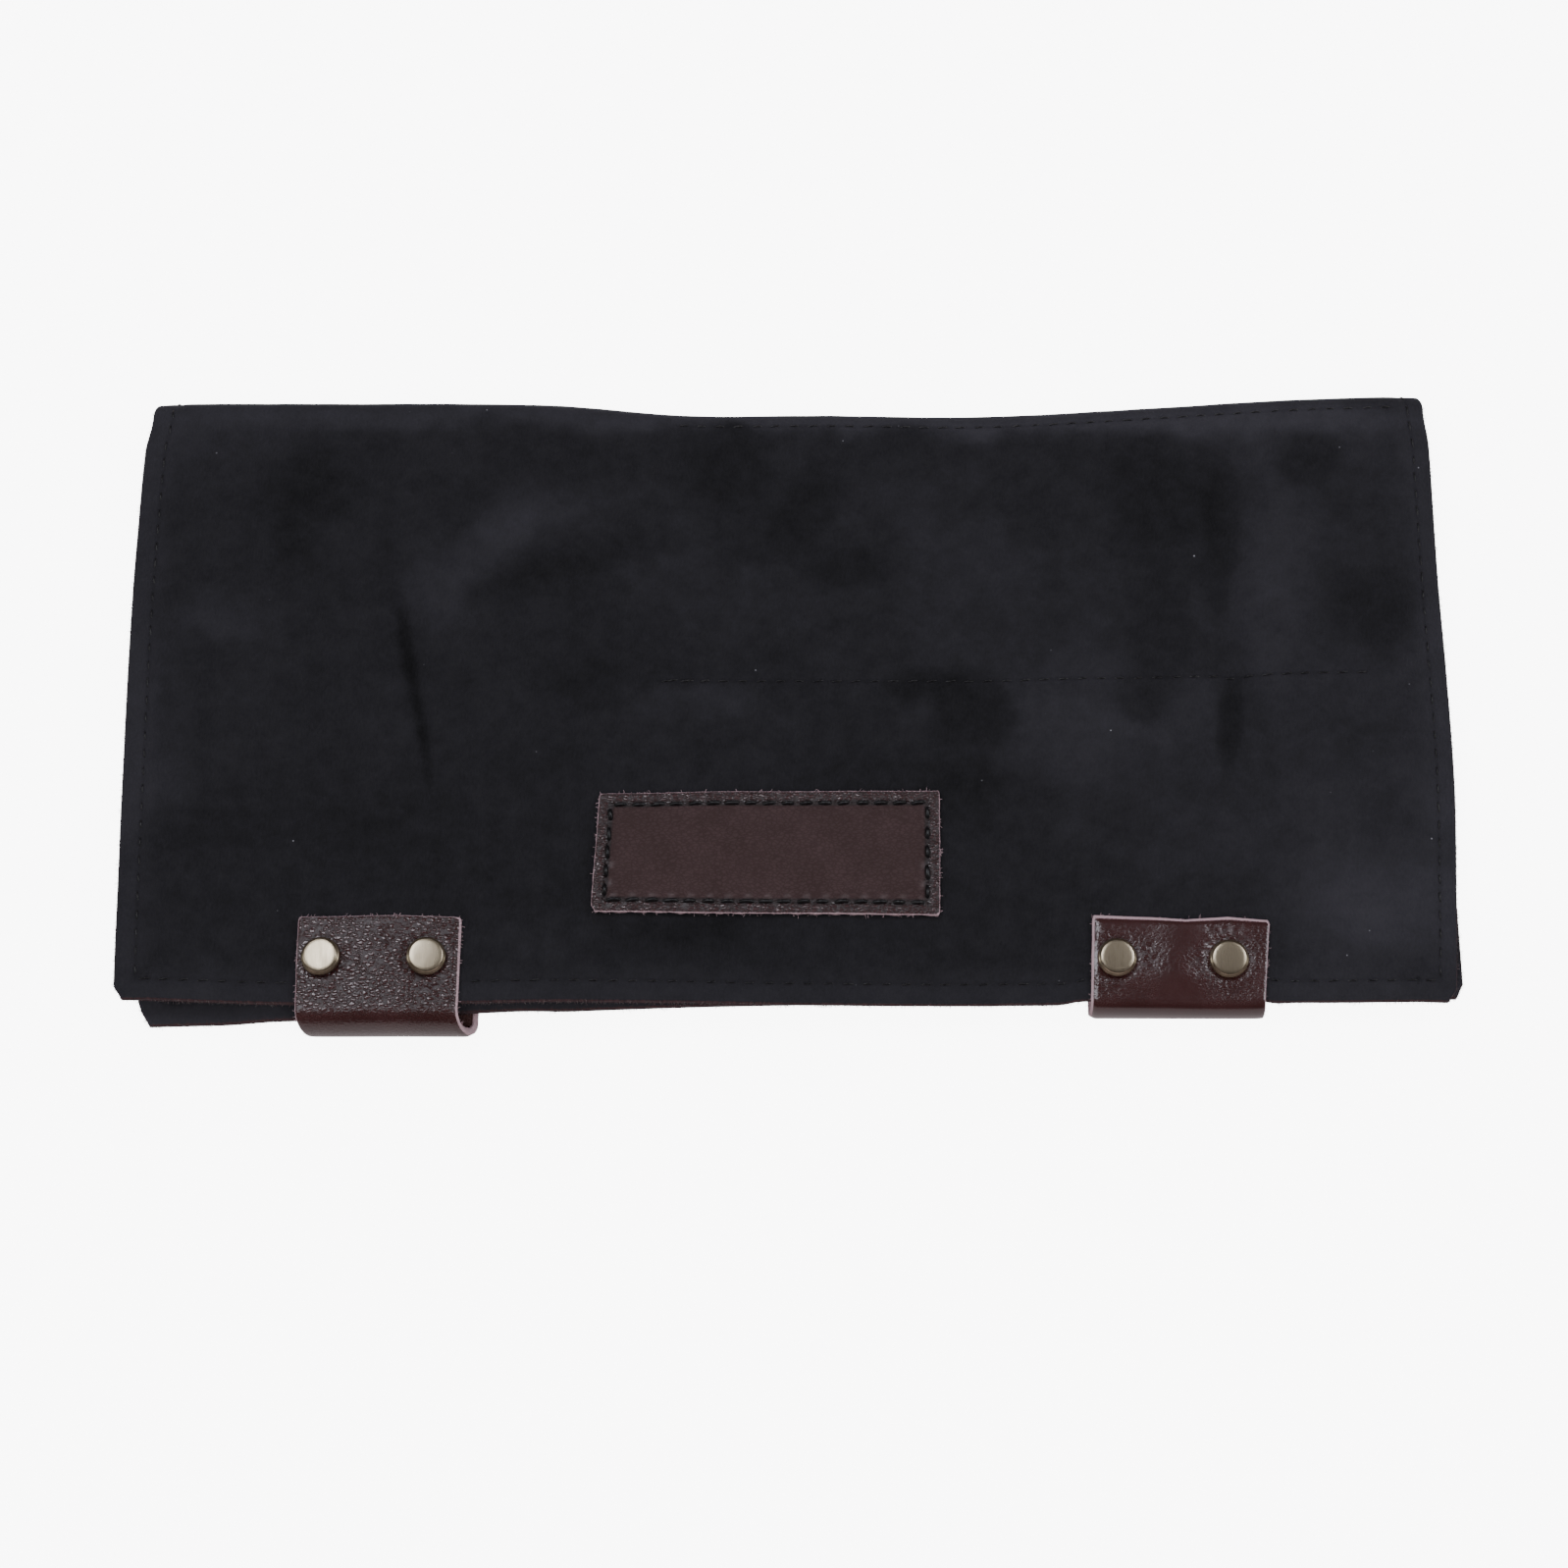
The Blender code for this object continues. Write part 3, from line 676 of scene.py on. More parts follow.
class Face:
    """Points of a face in rows and columns, with values for the lines so that it can be read between them."""

    def __init__(self, rows, columns, points):
        self.rows = np.asarray(rows, float)
        self.columns = np.asarray(columns, float)
        self.move_to(points)

    def move_to(self, points):
        self.points = points
        down = np.gradient(points, axis=0)
        across = np.gradient(points, axis=1)
        self.normals = unit(np.cross(across, down))

    def read(self, row, column):
        """Points and normals at row and column values, which need not be on grid lines."""
        step_row = np.interp(row, self.rows, np.arange(len(self.rows)))
        step_column = np.interp(column, self.columns, np.arange(len(self.columns)))
        r = np.clip(step_row.astype(int), 0, len(self.rows) - 2)
        c = np.clip(step_column.astype(int), 0, len(self.columns) - 2)
        s, t = (step_row - r)[..., None], (step_column - c)[..., None]

        def blend(grid):
            lower = grid[r, c] * (1 - t) + grid[r, c + 1] * t
            upper = grid[r + 1, c] * (1 - t) + grid[r + 1, c + 1] * t
            return lower * (1 - s) + upper * s

        return blend(self.points), unit(blend(self.normals))

    def border(self):
        """Indices round the face, counter-clockwise seen from outside, and the way out at each."""
        rows, columns = self.points.shape[:2]
        numbers = np.arange(rows * columns).reshape(rows, columns)
        loop = np.concatenate([numbers[0, :-1], numbers[:-1, -1], numbers[-1, :0:-1], numbers[:0:-1, 0]])
        out = np.zeros_like(self.points)
        out[0] += unit(self.points[0] - self.points[1])
        out[-1] += unit(self.points[-1] - self.points[-2])
        out[:, 0] += unit(self.points[:, 0] - self.points[:, 1])
        out[:, -1] += unit(self.points[:, -1] - self.points[:, -2])
        return loop, unit(out.reshape(-1, 3)[loop])


def drawn_to(count, spots, reach, pull):
    """Shares from 0 to 1 that stand closer together near some spots."""
    fine = np.linspace(0.0, 1.0, 4001)
    density = 1 + sum(pull * np.exp(-(((fine - spot) / reach) ** 2)) for spot in spots)
    run = np.cumsum(density)
    return np.interp(np.linspace(0.0, 1.0, count), (run - run[0]) / (run[-1] - run[0]), fine)


def crowded(count, amount):
    """Shares from 0 to 1 that stand closer together at both ends."""
    t = np.linspace(0.0, 1.0, count)
    return t - amount * np.sin(2 * math.pi * t) / (2 * math.pi)


def walled_mesh(name, face, thickness, edge_steps, uv, values, material):
    """Closed mesh of a sheet: its outer face, its inner face a thickness below, and its cut edge between
    them. uv and values hold one entry for each point of the face. Returns the object."""
    rows, columns = face.points.shape[:2]
    outer = face.points.reshape(-1, 3)
    inner = (face.points - face.normals * thickness).reshape(-1, 3)
    loop, out = face.border()
    rings = [
        outer[loop] * (1 - step.depth) + inner[loop] * step.depth + out * step.out for step in edge_steps
    ]
    numbers = np.arange(rows * columns).reshape(rows, columns)
    quads = np.stack([numbers[:-1, :-1], numbers[:-1, 1:], numbers[1:, 1:], numbers[1:, :-1]], axis=-1)
    quads = quads.reshape(-1, 4)
    faces = [quads, quads[:, ::-1] + len(outer)]
    lines = [loop]
    lines += [2 * len(outer) + k * len(loop) + np.arange(len(loop)) for k in range(len(rings))]
    lines += [loop + len(outer)]
    for upper, lower in zip(lines, lines[1:]):
        faces.append(np.stack([upper, lower, np.roll(lower, -1), np.roll(upper, -1)], axis=-1))

    mesh = bpy.data.meshes.new(name)
    points = np.concatenate([outer, inner, *rings]) + SHIFT
    mesh.from_pydata(points.tolist(), [], np.concatenate(faces).tolist())
    mesh.shade_smooth()

    def spread(grid):
        flat = grid.reshape(len(outer), -1)
        return np.concatenate([flat, flat, *[flat[loop]] * len(rings)])

    for key, grid in values.items():
        put_values(mesh, key, spread(grid))
    edge = np.concatenate([np.zeros(2 * len(outer)), np.ones(len(rings) * len(loop))])
    edge[loop] = edge[loop + len(outer)] = 0.72
    put_values(mesh, "cut_edge", edge[:, None])
    side = np.concatenate([np.zeros(len(outer)), np.ones(len(outer)), np.zeros(len(rings) * len(loop))])
    put_values(mesh, "inner_side", side[:, None])
    corner_of = np.empty(len(mesh.loops), dtype=np.int32)
    mesh.loops.foreach_get("vertex_index", corner_of)
    layer = mesh.uv_layers.new(name="Sheet")
    layer.data.foreach_set("uv", spread(uv)[corner_of].astype(np.float32).ravel())
    return finish_piece(name, mesh, material)


def put_values(mesh, key, values):
    """Store one number or vector for each vertex."""
    kind, slot = ("FLOAT", "value") if values.shape[1] == 1 else ("FLOAT_VECTOR", "vector")
    layer = mesh.attributes.new(key, kind, "POINT")
    layer.data.foreach_set(slot, values.astype(np.float32).ravel())


def finish_piece(name, mesh, material):
    """Put a mesh in the scene as a piece that belongs to the case."""
    mesh.validate()
    if material is not None:
        mesh.materials.append(material)
    made = bpy.data.objects.new(name, mesh)
    bpy.context.scene.collection.objects.link(made)
    return made


SHIFT = case_shift()


# Suede panel with its seams, creases and brushed nap

def from_segment(x, y, start, end):
    """Distance from a straight line between two points."""
    dx, dy = end[0] - start[0], end[1] - start[1]
    t = np.clip(((x - start[0]) * dx + (y - start[1]) * dy) / (dx * dx + dy * dy), 0.0, 1.0)
    return np.hypot(x - start[0] - t * dx, y - start[1] - t * dy)


def grained(points, size, seed):
    """Smooth noise from -1 to 1 at points, with lumps of the given size."""
    shift = Vector((7.3 * seed, 3.7 * seed, 1.9 * seed))
    flat = (points.reshape(-1, 3) / size).tolist()
    return np.array([noise.noise(Vector(p) + shift) for p in flat]).reshape(points.shape[:-1])


def crease_depth(x, y):
    """Depth of the narrow creases."""
    total = np.zeros_like(x)
    for crease in CREASES:
        start = (crease.start[0] * CASE_WIDTH, crease.start[1] * CASE_HEIGHT)
        end = (crease.end[0] * CASE_WIDTH, crease.end[1] * CASE_HEIGHT)
        away = from_segment(x, y, start, end)
        total = np.maximum(total, crease.depth * bell(away, crease.half_width))
    return total


def nap_and_light_tone(points):
    """Tone of the brushed nap, with the painted light and shade of some strokes, from -1, dark, to 1, light.
    """
    wander_x = sum(reach * grained(points, size, seed) for size, reach, seed in STROKE_SWAY)
    wander_y = sum(reach * grained(points, size, seed + 1) for size, reach, seed in STROKE_SWAY)
    total = sum(change * grained(points, size, seed) for size, change, seed in NAP_NOISE)
    for stroke in STROKES:
        sway = min(1.0, stroke.half_width / WIDE_STROKE)
        dx = points[..., 0] + sway * wander_x - stroke.across * CASE_WIDTH
        dy = points[..., 1] + sway * wander_y - stroke.up * CASE_HEIGHT
        long = (dx * math.cos(stroke.lean) + dy * math.sin(stroke.lean)) / (stroke.half_width * CASE_WIDTH)
        wide = (dy * math.cos(stroke.lean) - dx * math.sin(stroke.lean)) / (stroke.half_height * CASE_HEIGHT)
        total += STROKE_STRENGTH * stroke.tone * np.exp(-((long * long + wide * wide) ** (stroke.edge / 2)))
    return np.clip(total, -1.2, 1.0)


def mid_seam_height(x):
    return np.interp(x, [p[0] for p in MID_SEAM], [p[1] for p in MID_SEAM])


def seam_distances(points, along, strip):
    """Signed distance from the seam round the edges, above zero inside it, and from the lines that cross
    the case, with where those are sewn."""
    x, y = points[..., 0], points[..., 1]
    left, right = points[:, :1, 0], points[:, -1:, 0]
    flap_side = np.abs(y - y[:1])
    back_side = np.abs(y - y[-1:])
    from_hem = np.where(strip <= 1, flap_side, np.where(strip >= 2, back_side, CASE_HEIGHT))
    round_edge = np.minimum(np.minimum(x - left - SEAM_LEFT, right - x - SEAM_RIGHT), from_hem - SEAM_HEM)
    away_top = (1 + TOP_SEAM_TURN - strip) * math.pi * FOLD_RADIUS
    across = np.where(strip < 0.8, y - mid_seam_height(x), away_top)
    in_mid = (x > MID_SEAM[0][0]) & (x < MID_SEAM[-1][0]) & (strip < 0.8)
    in_top = (along > TOP_SEAM_ENDS[0]) & (along < TOP_SEAM_ENDS[1]) & (strip > 0.9)
    return round_edge, across, (in_mid | in_top).astype(float)


def suede_face(suede):
    """Outer face of the folded suede with all its relief, and the values that its material reads."""
    columns = 2 * drawn_to(suede.columns, (0.0, *CREASE_SHARES, 1.0), CROWDING_REACH, CROWDING_PULL) - 1
    flap = crowded(2 * suede.flap_rows, FLAP_CROWDING)[: suede.flap_rows]
    flap = np.append(flap / flap[-1] * (1 - 0.5 / suede.flap_rows), 1.0)
    fold = 1 + np.linspace(0.0, 1.0, suede.fold_rows + 1)[1:]
    back = 3 - crowded(2 * suede.back_rows, BACK_CROWDING)[: suede.back_rows][::-1] * 2
    strip = np.concatenate([flap, fold, back[back > 2.0]])
    along, place = np.broadcast_arrays(columns[None, :], strip[:, None])
    face = Face(strip, columns, sheet_points(along, place))
    points = face.points
    round_edge, across, crossed = seam_distances(points, along, place)

    x, y = points[..., 0], points[..., 1]
    from_side = np.minimum(np.abs(x - x[:, :1]), np.abs(x - x[:, -1:]))
    seam_run = np.where(from_side < SIDE_MARGIN, y, x)
    pucker = 0.5 + 0.5 * np.cos(2 * math.pi * seam_run / STITCH_PITCH)
    groove = bell(round_edge, EDGE_GROOVE_WIDTH) + 0.3 * crossed * bell(across, LINE_GROOVE_WIDTH)
    sunk = GROOVE_DEPTH * groove * (0.6 + 0.4 * pucker) + ROLL_DEPTH * eased(-round_edge / ROLL_WIDTH)
    front = 1 - eased(place - FRONT_END)
    sunk += crease_depth(x, y) * (place < FRONT_END)
    lumps = LUMP_HEIGHT * grained(points, LUMP_SIZE, 7) * front
    face.move_to(points - face.normals * (sunk - lumps)[..., None])

    length = run_along(points[:, len(columns) // 2])
    uv = np.stack([x, np.broadcast_to(length[:, None], along.shape)], axis=-1)
    # Painted light: the back panel's tone is raised near its hem, lifting the shade that the flap's hem casts
    # on it
    near_hem = bell(3.0 - place, 0.10)
    back_tone = 0.35 * grained(points, 0.030, 8) + 0.15 * grained(points, 0.010, 9) + 0.9 * near_hem
    tone = nap_and_light_tone(points) * front + back_tone * (1 - front)
    values = {
        "nap": tone[..., None],
        "seams": np.stack([round_edge, across, seam_run], axis=-1),
        "crossed": crossed[..., None],
    }
    return face, uv, values


# Shader and node helpers

def add_node(tree, kind, inputs=None, **settings):
    """New node, with its settings, and its inputs either linked or set."""
    node = tree.nodes.new(kind)
    for key, value in settings.items():
        setattr(node, key, value)
    for key, value in (inputs or {}).items():
        if isinstance(value, bpy.types.NodeSocket):
            tree.links.new(value, node.inputs[key])
        else:
            node.inputs[key].default_value = value
    return node


def maths(tree, operation, *terms, clamp=False):
    """Output of a Math node."""
    node = add_node(tree, "ShaderNodeMath", dict(enumerate(terms)), operation=operation, use_clamp=clamp)
    return node.outputs[0]


def plus(tree, first, second, clamp=False):
    return maths(tree, "ADD", first, second, clamp=clamp)


def times(tree, first, second):
    return maths(tree, "MULTIPLY", first, second)


def scaled(tree, value, by, then):
    """value * by + then."""
    return maths(tree, "MULTIPLY_ADD", value, by, then)


def ramped(tree, value, low, high, to_low=0.0, to_high=1.0):
    """Value mapped smoothly from one range to another, and held at its ends."""
    inputs = {"Value": value, "From Min": low, "From Max": high, "To Min": to_low, "To Max": to_high}
    return add_node(tree, "ShaderNodeMapRange", inputs, interpolation_type="SMOOTHSTEP").outputs[0]


def mixed(tree, factor, first, second, blend_type="MIX"):
    """Two colours mixed by a factor, which is held between 0 and 1."""
    node = add_node(tree, "ShaderNodeMix", data_type="RGBA", blend_type=blend_type)
    for socket, value in zip((node.inputs[0], node.inputs[6], node.inputs[7]), (factor, first, second)):
        if isinstance(value, bpy.types.NodeSocket):
            tree.links.new(value, socket)
        else:
            socket.default_value = value
    return node.outputs[2]


def stored(tree, key, output="Fac"):
    """Output of a value that the mesh carries."""
    return add_node(tree, "ShaderNodeAttribute", attribute_name=key).outputs[output]


def object_place(tree):
    """Coordinates in metres in the piece's own frame."""
    return add_node(tree, "ShaderNodeTexCoord").outputs["Object"]


def noisy(tree, vector, size, detail=2.0, roughness=0.5, output="Fac", **inputs):
    """Output of a Noise Texture whose lumps have the given size in metres."""
    sockets = {"Vector": vector, "Scale": 1.0 / size, "Detail": detail, "Roughness": roughness, **inputs}
    return add_node(tree, "ShaderNodeTexNoise", sockets).outputs[output]


def stretched(tree, vector, scale, turn=0.0):
    """Coordinates scaled along each axis, and turned."""
    inputs = {"Vector": vector, "Scale": scale, "Rotation": (0.0, 0.0, turn)}
    return add_node(tree, "ShaderNodeMapping", inputs).outputs[0]


def bumped(tree, height, distance, strength=1.0, under=None):
    """Normal raised by a height whose full step is the given distance in metres."""
    inputs = {"Height": height, "Distance": distance, "Strength": strength}
    if under is not None:
        inputs["Normal"] = under
    return add_node(tree, "ShaderNodeBump", inputs).outputs[0]


def colour(rgb, share=1.0):
    """Colour socket's value, dimmed or brightened by a share."""
    return (*(c * share for c in rgb), 1.0)


def feed(tree, shader, **sockets):
    """Link outputs to the shader's sockets."""
    for key, value in sockets.items():
        tree.links.new(value, shader.inputs[key.replace("_", " ")])


def new_material(name, preview, roughness, **constants):
    """Material with its shader's constant sockets set. Returns it with its tree and shader."""
    material = bpy.data.materials.new(name)
    material.use_nodes = True
    material.diffuse_color = colour(preview)
    material.roughness = roughness
    tree = material.node_tree
    shader = tree.nodes["Principled BSDF"]
    shader.inputs["Roughness"].default_value = roughness
    for key, value in constants.items():
        shader.inputs[key.replace("_", " ")].default_value = value
    return material, tree, shader


def suede_material(suede):
    """Short matt nap that is darker or lighter by the way it was brushed and by painted light and shade, with
    painted sheen on the margins, painted shade in the seams' grooves and fuzzy reddish cut edges.
    """
    material, tree, shader = new_material(
        "black_suede", suede.dark, 0.93, Sheen_Weight=0.12, Sheen_Roughness=0.45, Specular_IOR_Level=0.06
    )
    shader.inputs["Sheen Tint"].default_value = colour((0.56, 0.56, 0.64))
    flat = add_node(tree, "ShaderNodeUVMap", uv_map="Sheet").outputs[0]
    patches = ramped(tree, noisy(tree, flat, 0.014, 4.0, 0.56, Distortion=0.4), 0.38, 0.62)
    mottle = noisy(tree, flat, 0.0042, 4.0, 0.65)
    hairs = noisy(tree, stretched(tree, flat, (1.0, 0.42, 1.0), 0.25), 0.00050, 3.0, 0.65)
    fine = noisy(tree, flat, 0.00023, 2.0, 0.6)

    # The stored tone holds the nap and also the painted light and shade of some strokes
    nap = plus(tree, stored(tree, "nap"), scaled(tree, patches, 0.15, -0.075))
    lit = times(tree, maths(tree, "MAXIMUM", nap, 0.0), 0.52)
    shaded = times(tree, maths(tree, "MINIMUM", nap, 0.0), 0.21)
    tone = plus(tree, plus(tree, lit, shaded), 0.25)
    for layer, strength in ((mottle, 0.34), (hairs, 0.30), (fine, 0.20)):
        tone = plus(tree, tone, scaled(tree, layer, strength, -strength / 2))
    base = mixed(tree, tone, colour(suede.dark), colour(suede.light))

    seams = add_node(tree, "ShaderNodeSeparateXYZ", {0: stored(tree, "seams", "Vector")}).outputs
    edge_away = maths(tree, "ABSOLUTE", seams[0])
    unsewn = scaled(tree, stored(tree, "crossed"), -0.02, 0.02)
    line_away = plus(tree, maths(tree, "ABSOLUTE", seams[1]), unsewn)
    away = maths(tree, "MINIMUM", edge_away, line_away)
    # Painted sheen: the margin outside the edge seam is mixed towards the light nap colour
    painted_margin_sheen = ramped(tree, seams[0], 0.0050, -0.0030)
    base = mixed(tree, times(tree, painted_margin_sheen, 0.20), base, colour(suede.light))
    # Painted shade: the suede is darker along the seams' grooves
    sewn = ramped(tree, away, 0.0008, 0.0001)
    base = mixed(tree, times(tree, sewn, 0.12), base, colour(suede.dark, 0.5))

    specks = add_node(tree, "ShaderNodeTexVoronoi", {"Vector": flat, "Scale": 190.0, "Randomness": 1.0})
    bright = add_node(tree, "ShaderNodeSeparateColor", {0: specks.outputs["Color"]}).outputs
    lint = times(tree, ramped(tree, specks.outputs["Distance"], 0.050, 0.016), bright[0])
    lint = times(tree, lint, ramped(tree, bright[1], 0.72, 0.98))
    base = mixed(tree, lint, base, colour((0.36, 0.36, 0.40)))

    ragged = plus(tree, stored(tree, "cut_edge"), scaled(tree, hairs, 0.9, -0.55))
    raw = ramped(tree, ragged, 0.50, 1.00)
    base = mixed(tree, raw, base, mixed(tree, hairs, colour(suede.cut, 0.35), colour(suede.cut)))

    stitch_phase = times(tree, seams[2], 2 * math.pi / STITCH_PITCH)
    dimple = scaled(tree, maths(tree, "COSINE", stitch_phase), 0.5, 0.5)
    groove = times(tree, ramped(tree, away, 0.0014, 0.0), scaled(tree, dimple, 0.5, 0.5))
    normal = bumped(tree, times(tree, groove, -1.0), GROOVE_DEPTH)
    for layer, height, strength in ((mottle, 0.00030, 0.5), (hairs, 0.00016, 0.7), (fine, 0.00008, 0.6)):
        normal = bumped(tree, layer, height, strength, normal)
    feed(tree, shader, Base_Color=base, Normal=normal)
    return material


def fuzz_material(suede):
    """Loose fibres, some duller and some brighter than the cut edge."""
    material, tree, shader = new_material(
        "suede_fuzz", suede.cut, 0.9, Sheen_Weight=0.3, Specular_IOR_Level=0.2
    )
    tint = ramped(tree, noisy(tree, object_place(tree), 0.0011), 0.35, 0.68)
    feed(tree, shader, Base_Color=mixed(tree, tint, colour(suede.cut, 0.30), colour(suede.cut, 1.25)))
    return material


def thread_material(stitches):
    """Black waxed thread with a fine twist."""
    material, tree, shader = new_material("black_thread", stitches.colour, 0.30, Specular_IOR_Level=0.5)
    strands = noisy(tree, object_place(tree), 0.00022)
    base = mixed(tree, strands, colour(stitches.colour), colour(stitches.colour, 2.2))
    feed(tree, shader, Base_Color=base, Normal=bumped(tree, strands, 0.00010, 0.8))
    return material


def leather_material(name, leather, plain, worn_and_sheen, finish):
    """Grained leather whose pebbles flatten where it is stretched, with painted shade in the grain's cracks
    and along the seams, a rubbed colour that on the patch also paints sheen and glints, and a pale raw core
    at its edges.
    """
    material, tree, shader = new_material(name, plain, finish.roughness, Specular_IOR_Level=finish.shine)
    grain = leather.grain * finish.grain
    flat = add_node(tree, "ShaderNodeUVMap", uv_map="Sheet").outputs[0]
    bend = noisy(tree, flat, 0.0016, 2.0, 0.5, output="Color")
    warped = mixed(tree, 0.00055, flat, bend, "LINEAR_LIGHT")
    drawn_out = stretched(tree, warped, (0.50, 1.0, 1.0), 0.40)
    cells = {"Vector": drawn_out, "Scale": 1.0 / grain, "Randomness": 0.95}
    crack = add_node(tree, "ShaderNodeTexVoronoi", cells, feature="DISTANCE_TO_EDGE").outputs["Distance"]
    pebble = add_node(tree, "ShaderNodeTexVoronoi", cells, feature="F1").outputs["Distance"]
    small = {"Vector": warped, "Scale": 2.3 / grain, "Randomness": 1.0}
    pore = add_node(tree, "ShaderNodeTexVoronoi", small, feature="F1").outputs["Distance"]
    patches = noisy(tree, flat, 0.009, 3.0, 0.55)
    fine = noisy(tree, flat, 0.00028, 2.0, 0.6)

    coarse = stored(tree, "grain")
    open_crack = ramped(tree, crack, 0.22, 0.02)
    valley = times(tree, open_crack, coarse)
    rub_and_sheen = scaled(tree, ramped(tree, patches, 0.35, 0.70), 0.45 * (1 - finish.calm), 0.08)
    # The rubbed colour is rubbed wear, and on the patch it is also painted sheen on the border and painted
    # glints by the bottom seam
    rub_and_sheen = plus(tree, rub_and_sheen, times(tree, stored(tree, "wear_and_sheen"), 0.6))
    rub_and_sheen = maths(tree, "SUBTRACT", rub_and_sheen, times(tree, valley, 0.30), clamp=True)
    base = mixed(tree, rub_and_sheen, colour(plain), colour(worn_and_sheen))
    # Painted shade: the grain's cracks are darkened towards a dim copy of the plain colour
    base = mixed(tree, times(tree, valley, 0.75), base, colour(plain, 0.22))

    # Painted shade: the leather is darkened along the seams' grooves
    seams = stored(tree, "seam")
    sewn = ramped(tree, maths(tree, "ABSOLUTE", seams), 0.0010, 0.0003)
    base = mixed(tree, times(tree, sewn, 0.8), base, colour(plain, 0.20))
    base = mixed(tree, stored(tree, "inner_side"), base, colour(leather.inside))
    ragged = plus(tree, stored(tree, "cut_edge"), scaled(tree, fine, 0.5, -0.25))
    raw = ramped(tree, plus(tree, ragged, stored(tree, "skived")), 0.55, 0.85)
    core = mixed(tree, fine, colour(leather.cut, 0.55), colour(leather.cut))
    base = mixed(tree, raw, base, core)

    rough = scaled(tree, patches, 0.12, finish.roughness - 0.06)
    rough = plus(tree, rough, times(tree, valley, 0.25))
    rough = maths(tree, "SUBTRACT", rough, times(tree, stored(tree, "wear_and_sheen"), finish.polish))
    rough = plus(tree, rough, times(tree, raw, 0.5), clamp=True)

    normal = bumped(tree, patches, 0.00012, 0.5)
    dome = times(tree, ramped(tree, pebble, 0.68, 0.04), 0.45)
    relief = plus(tree, dome, times(tree, open_crack, -0.55))
    normal = bumped(tree, times(tree, relief, coarse), 0.00015, 1.0, normal)
    pores = times(tree, ramped(tree, pore, 0.0, 0.5), scaled(tree, coarse, 0.7, 0.3))
    normal = bumped(tree, pores, 0.00001, 0.6, normal)
    feed(tree, shader, Base_Color=base, Roughness=rough, Normal=normal)
    return material


def brass_material(studs):
    """Antique brass with brush marks that run up the case, patina between them, and broad darker bands that
    paint shade on each cap in place of the dark side of its reflection.
    """
    material, tree, shader = new_material("antique_brass", studs.brass, 0.30, Metallic=1.0)
    where = object_place(tree)
    marks = noisy(tree, stretched(tree, where, (1.0, 0.05, 0.3)), 0.00014, 3.0, 0.7)
    # Painted shade: broad bands darken part of each cap towards the patina colour, standing in for the dark
    # side of its reflection
    reflection_shade_bands = noisy(tree, stretched(tree, where, (1.0, 0.30, 0.5)), 0.0022, 2.0, 0.5)
    patina_and_shade = times(tree, ramped(tree, marks, 0.30, 0.75), 0.25)
    patina_and_shade = plus(tree, patina_and_shade, times(tree, ramped(tree, reflection_shade_bands, 0.35, 0.75), 0.30), clamp=True)
    base = mixed(tree, patina_and_shade, colour(studs.brass), colour(studs.patina))
    normal = bumped(tree, marks, 0.00001, 0.6)
    feed(tree, shader, Base_Color=base, Roughness=scaled(tree, patina_and_shade, 0.14, 0.27), Normal=normal)
    return material


def floor_material(stage):
    """Pale floor that glows evenly, so that it shows no shade of its own."""
    material, _, shader = new_material("pale_floor", stage.floor, 0.85, Specular_IOR_Level=0.1)
    shader.inputs["Base Color"].default_value = colour(stage.floor)
    shader.inputs["Emission Color"].default_value = colour((1.0, 1.0, 1.0))
    shader.inputs["Emission Strength"].default_value = stage.floor_glow
    return material


# Stitches and loose fibres, by Geometry Nodes

def new_tree(name, sockets):
    """Node tree for a modifier, with named inputs: name, kind and default. Returns it with its ends."""
    tree = bpy.data.node_groups.new(name, "GeometryNodeTree")
    tree.interface.new_socket("Geometry", in_out="INPUT", socket_type="NodeSocketGeometry")
    for label, kind, default in sockets:
        socket = tree.interface.new_socket(label, in_out="INPUT", socket_type=kind)
        if default is not None:
            socket.default_value = default
    tree.interface.new_socket("Geometry", in_out="OUTPUT", socket_type="NodeSocketGeometry")
    return tree, tree.nodes.new("NodeGroupInput").outputs, tree.nodes.new("NodeGroupOutput")


def put_on_points(tree, given, shape, rotation, scale, result):
    """Shape set on every point, made real, with its material, and sent to the result."""
    placed = add_node(
        tree,
        "GeometryNodeInstanceOnPoints",
        {"Points": given["Geometry"], "Instance": shape, "Rotation": rotation, "Scale": scale},
    )
    real = add_node(tree, "GeometryNodeRealizeInstances", {"Geometry": placed.outputs[0]})
    smooth = add_node(tree, "GeometryNodeSetShadeSmooth", {"Geometry": real.outputs[0]})
    dressed = add_node(
        tree, "GeometryNodeSetMaterial", {"Geometry": smooth.outputs[0], "Material": given["Material"]}
    )
    tree.links.new(dressed.outputs[0], result.inputs[0])


def facing(tree, first, second):
    """Rotation whose X follows the first vector and whose Z keeps to the second."""
    node = add_node(tree, "FunctionNodeAxesToRotation", primary_axis="X", secondary_axis="Z")
    tree.links.new(first, node.inputs[0])
    tree.links.new(second, node.inputs[1])
    return node.outputs[0]


def vector_named(tree, key):
    node = add_node(tree, "GeometryNodeInputNamedAttribute", {"Name": key}, data_type="FLOAT_VECTOR")
    return node.outputs["Attribute"]


def vector_sum(tree, operation, first, second):
    node = add_node(tree, "ShaderNodeVectorMath", {0: first, 1: second}, operation=operation)
    return node.outputs["Vector"]


def xyz(tree, x=0.0, y=0.0, z=0.0):
    return add_node(tree, "ShaderNodeCombineXYZ", {0: x, 1: y, 2: z}).outputs[0]


def random_vector(tree, low, high, seed):
    node = add_node(tree, "FunctionNodeRandomValue", data_type="FLOAT_VECTOR")
    node.inputs[0].default_value = low
    node.inputs[1].default_value = high
    node.inputs["Seed"].default_value = seed
    return node.outputs[0]


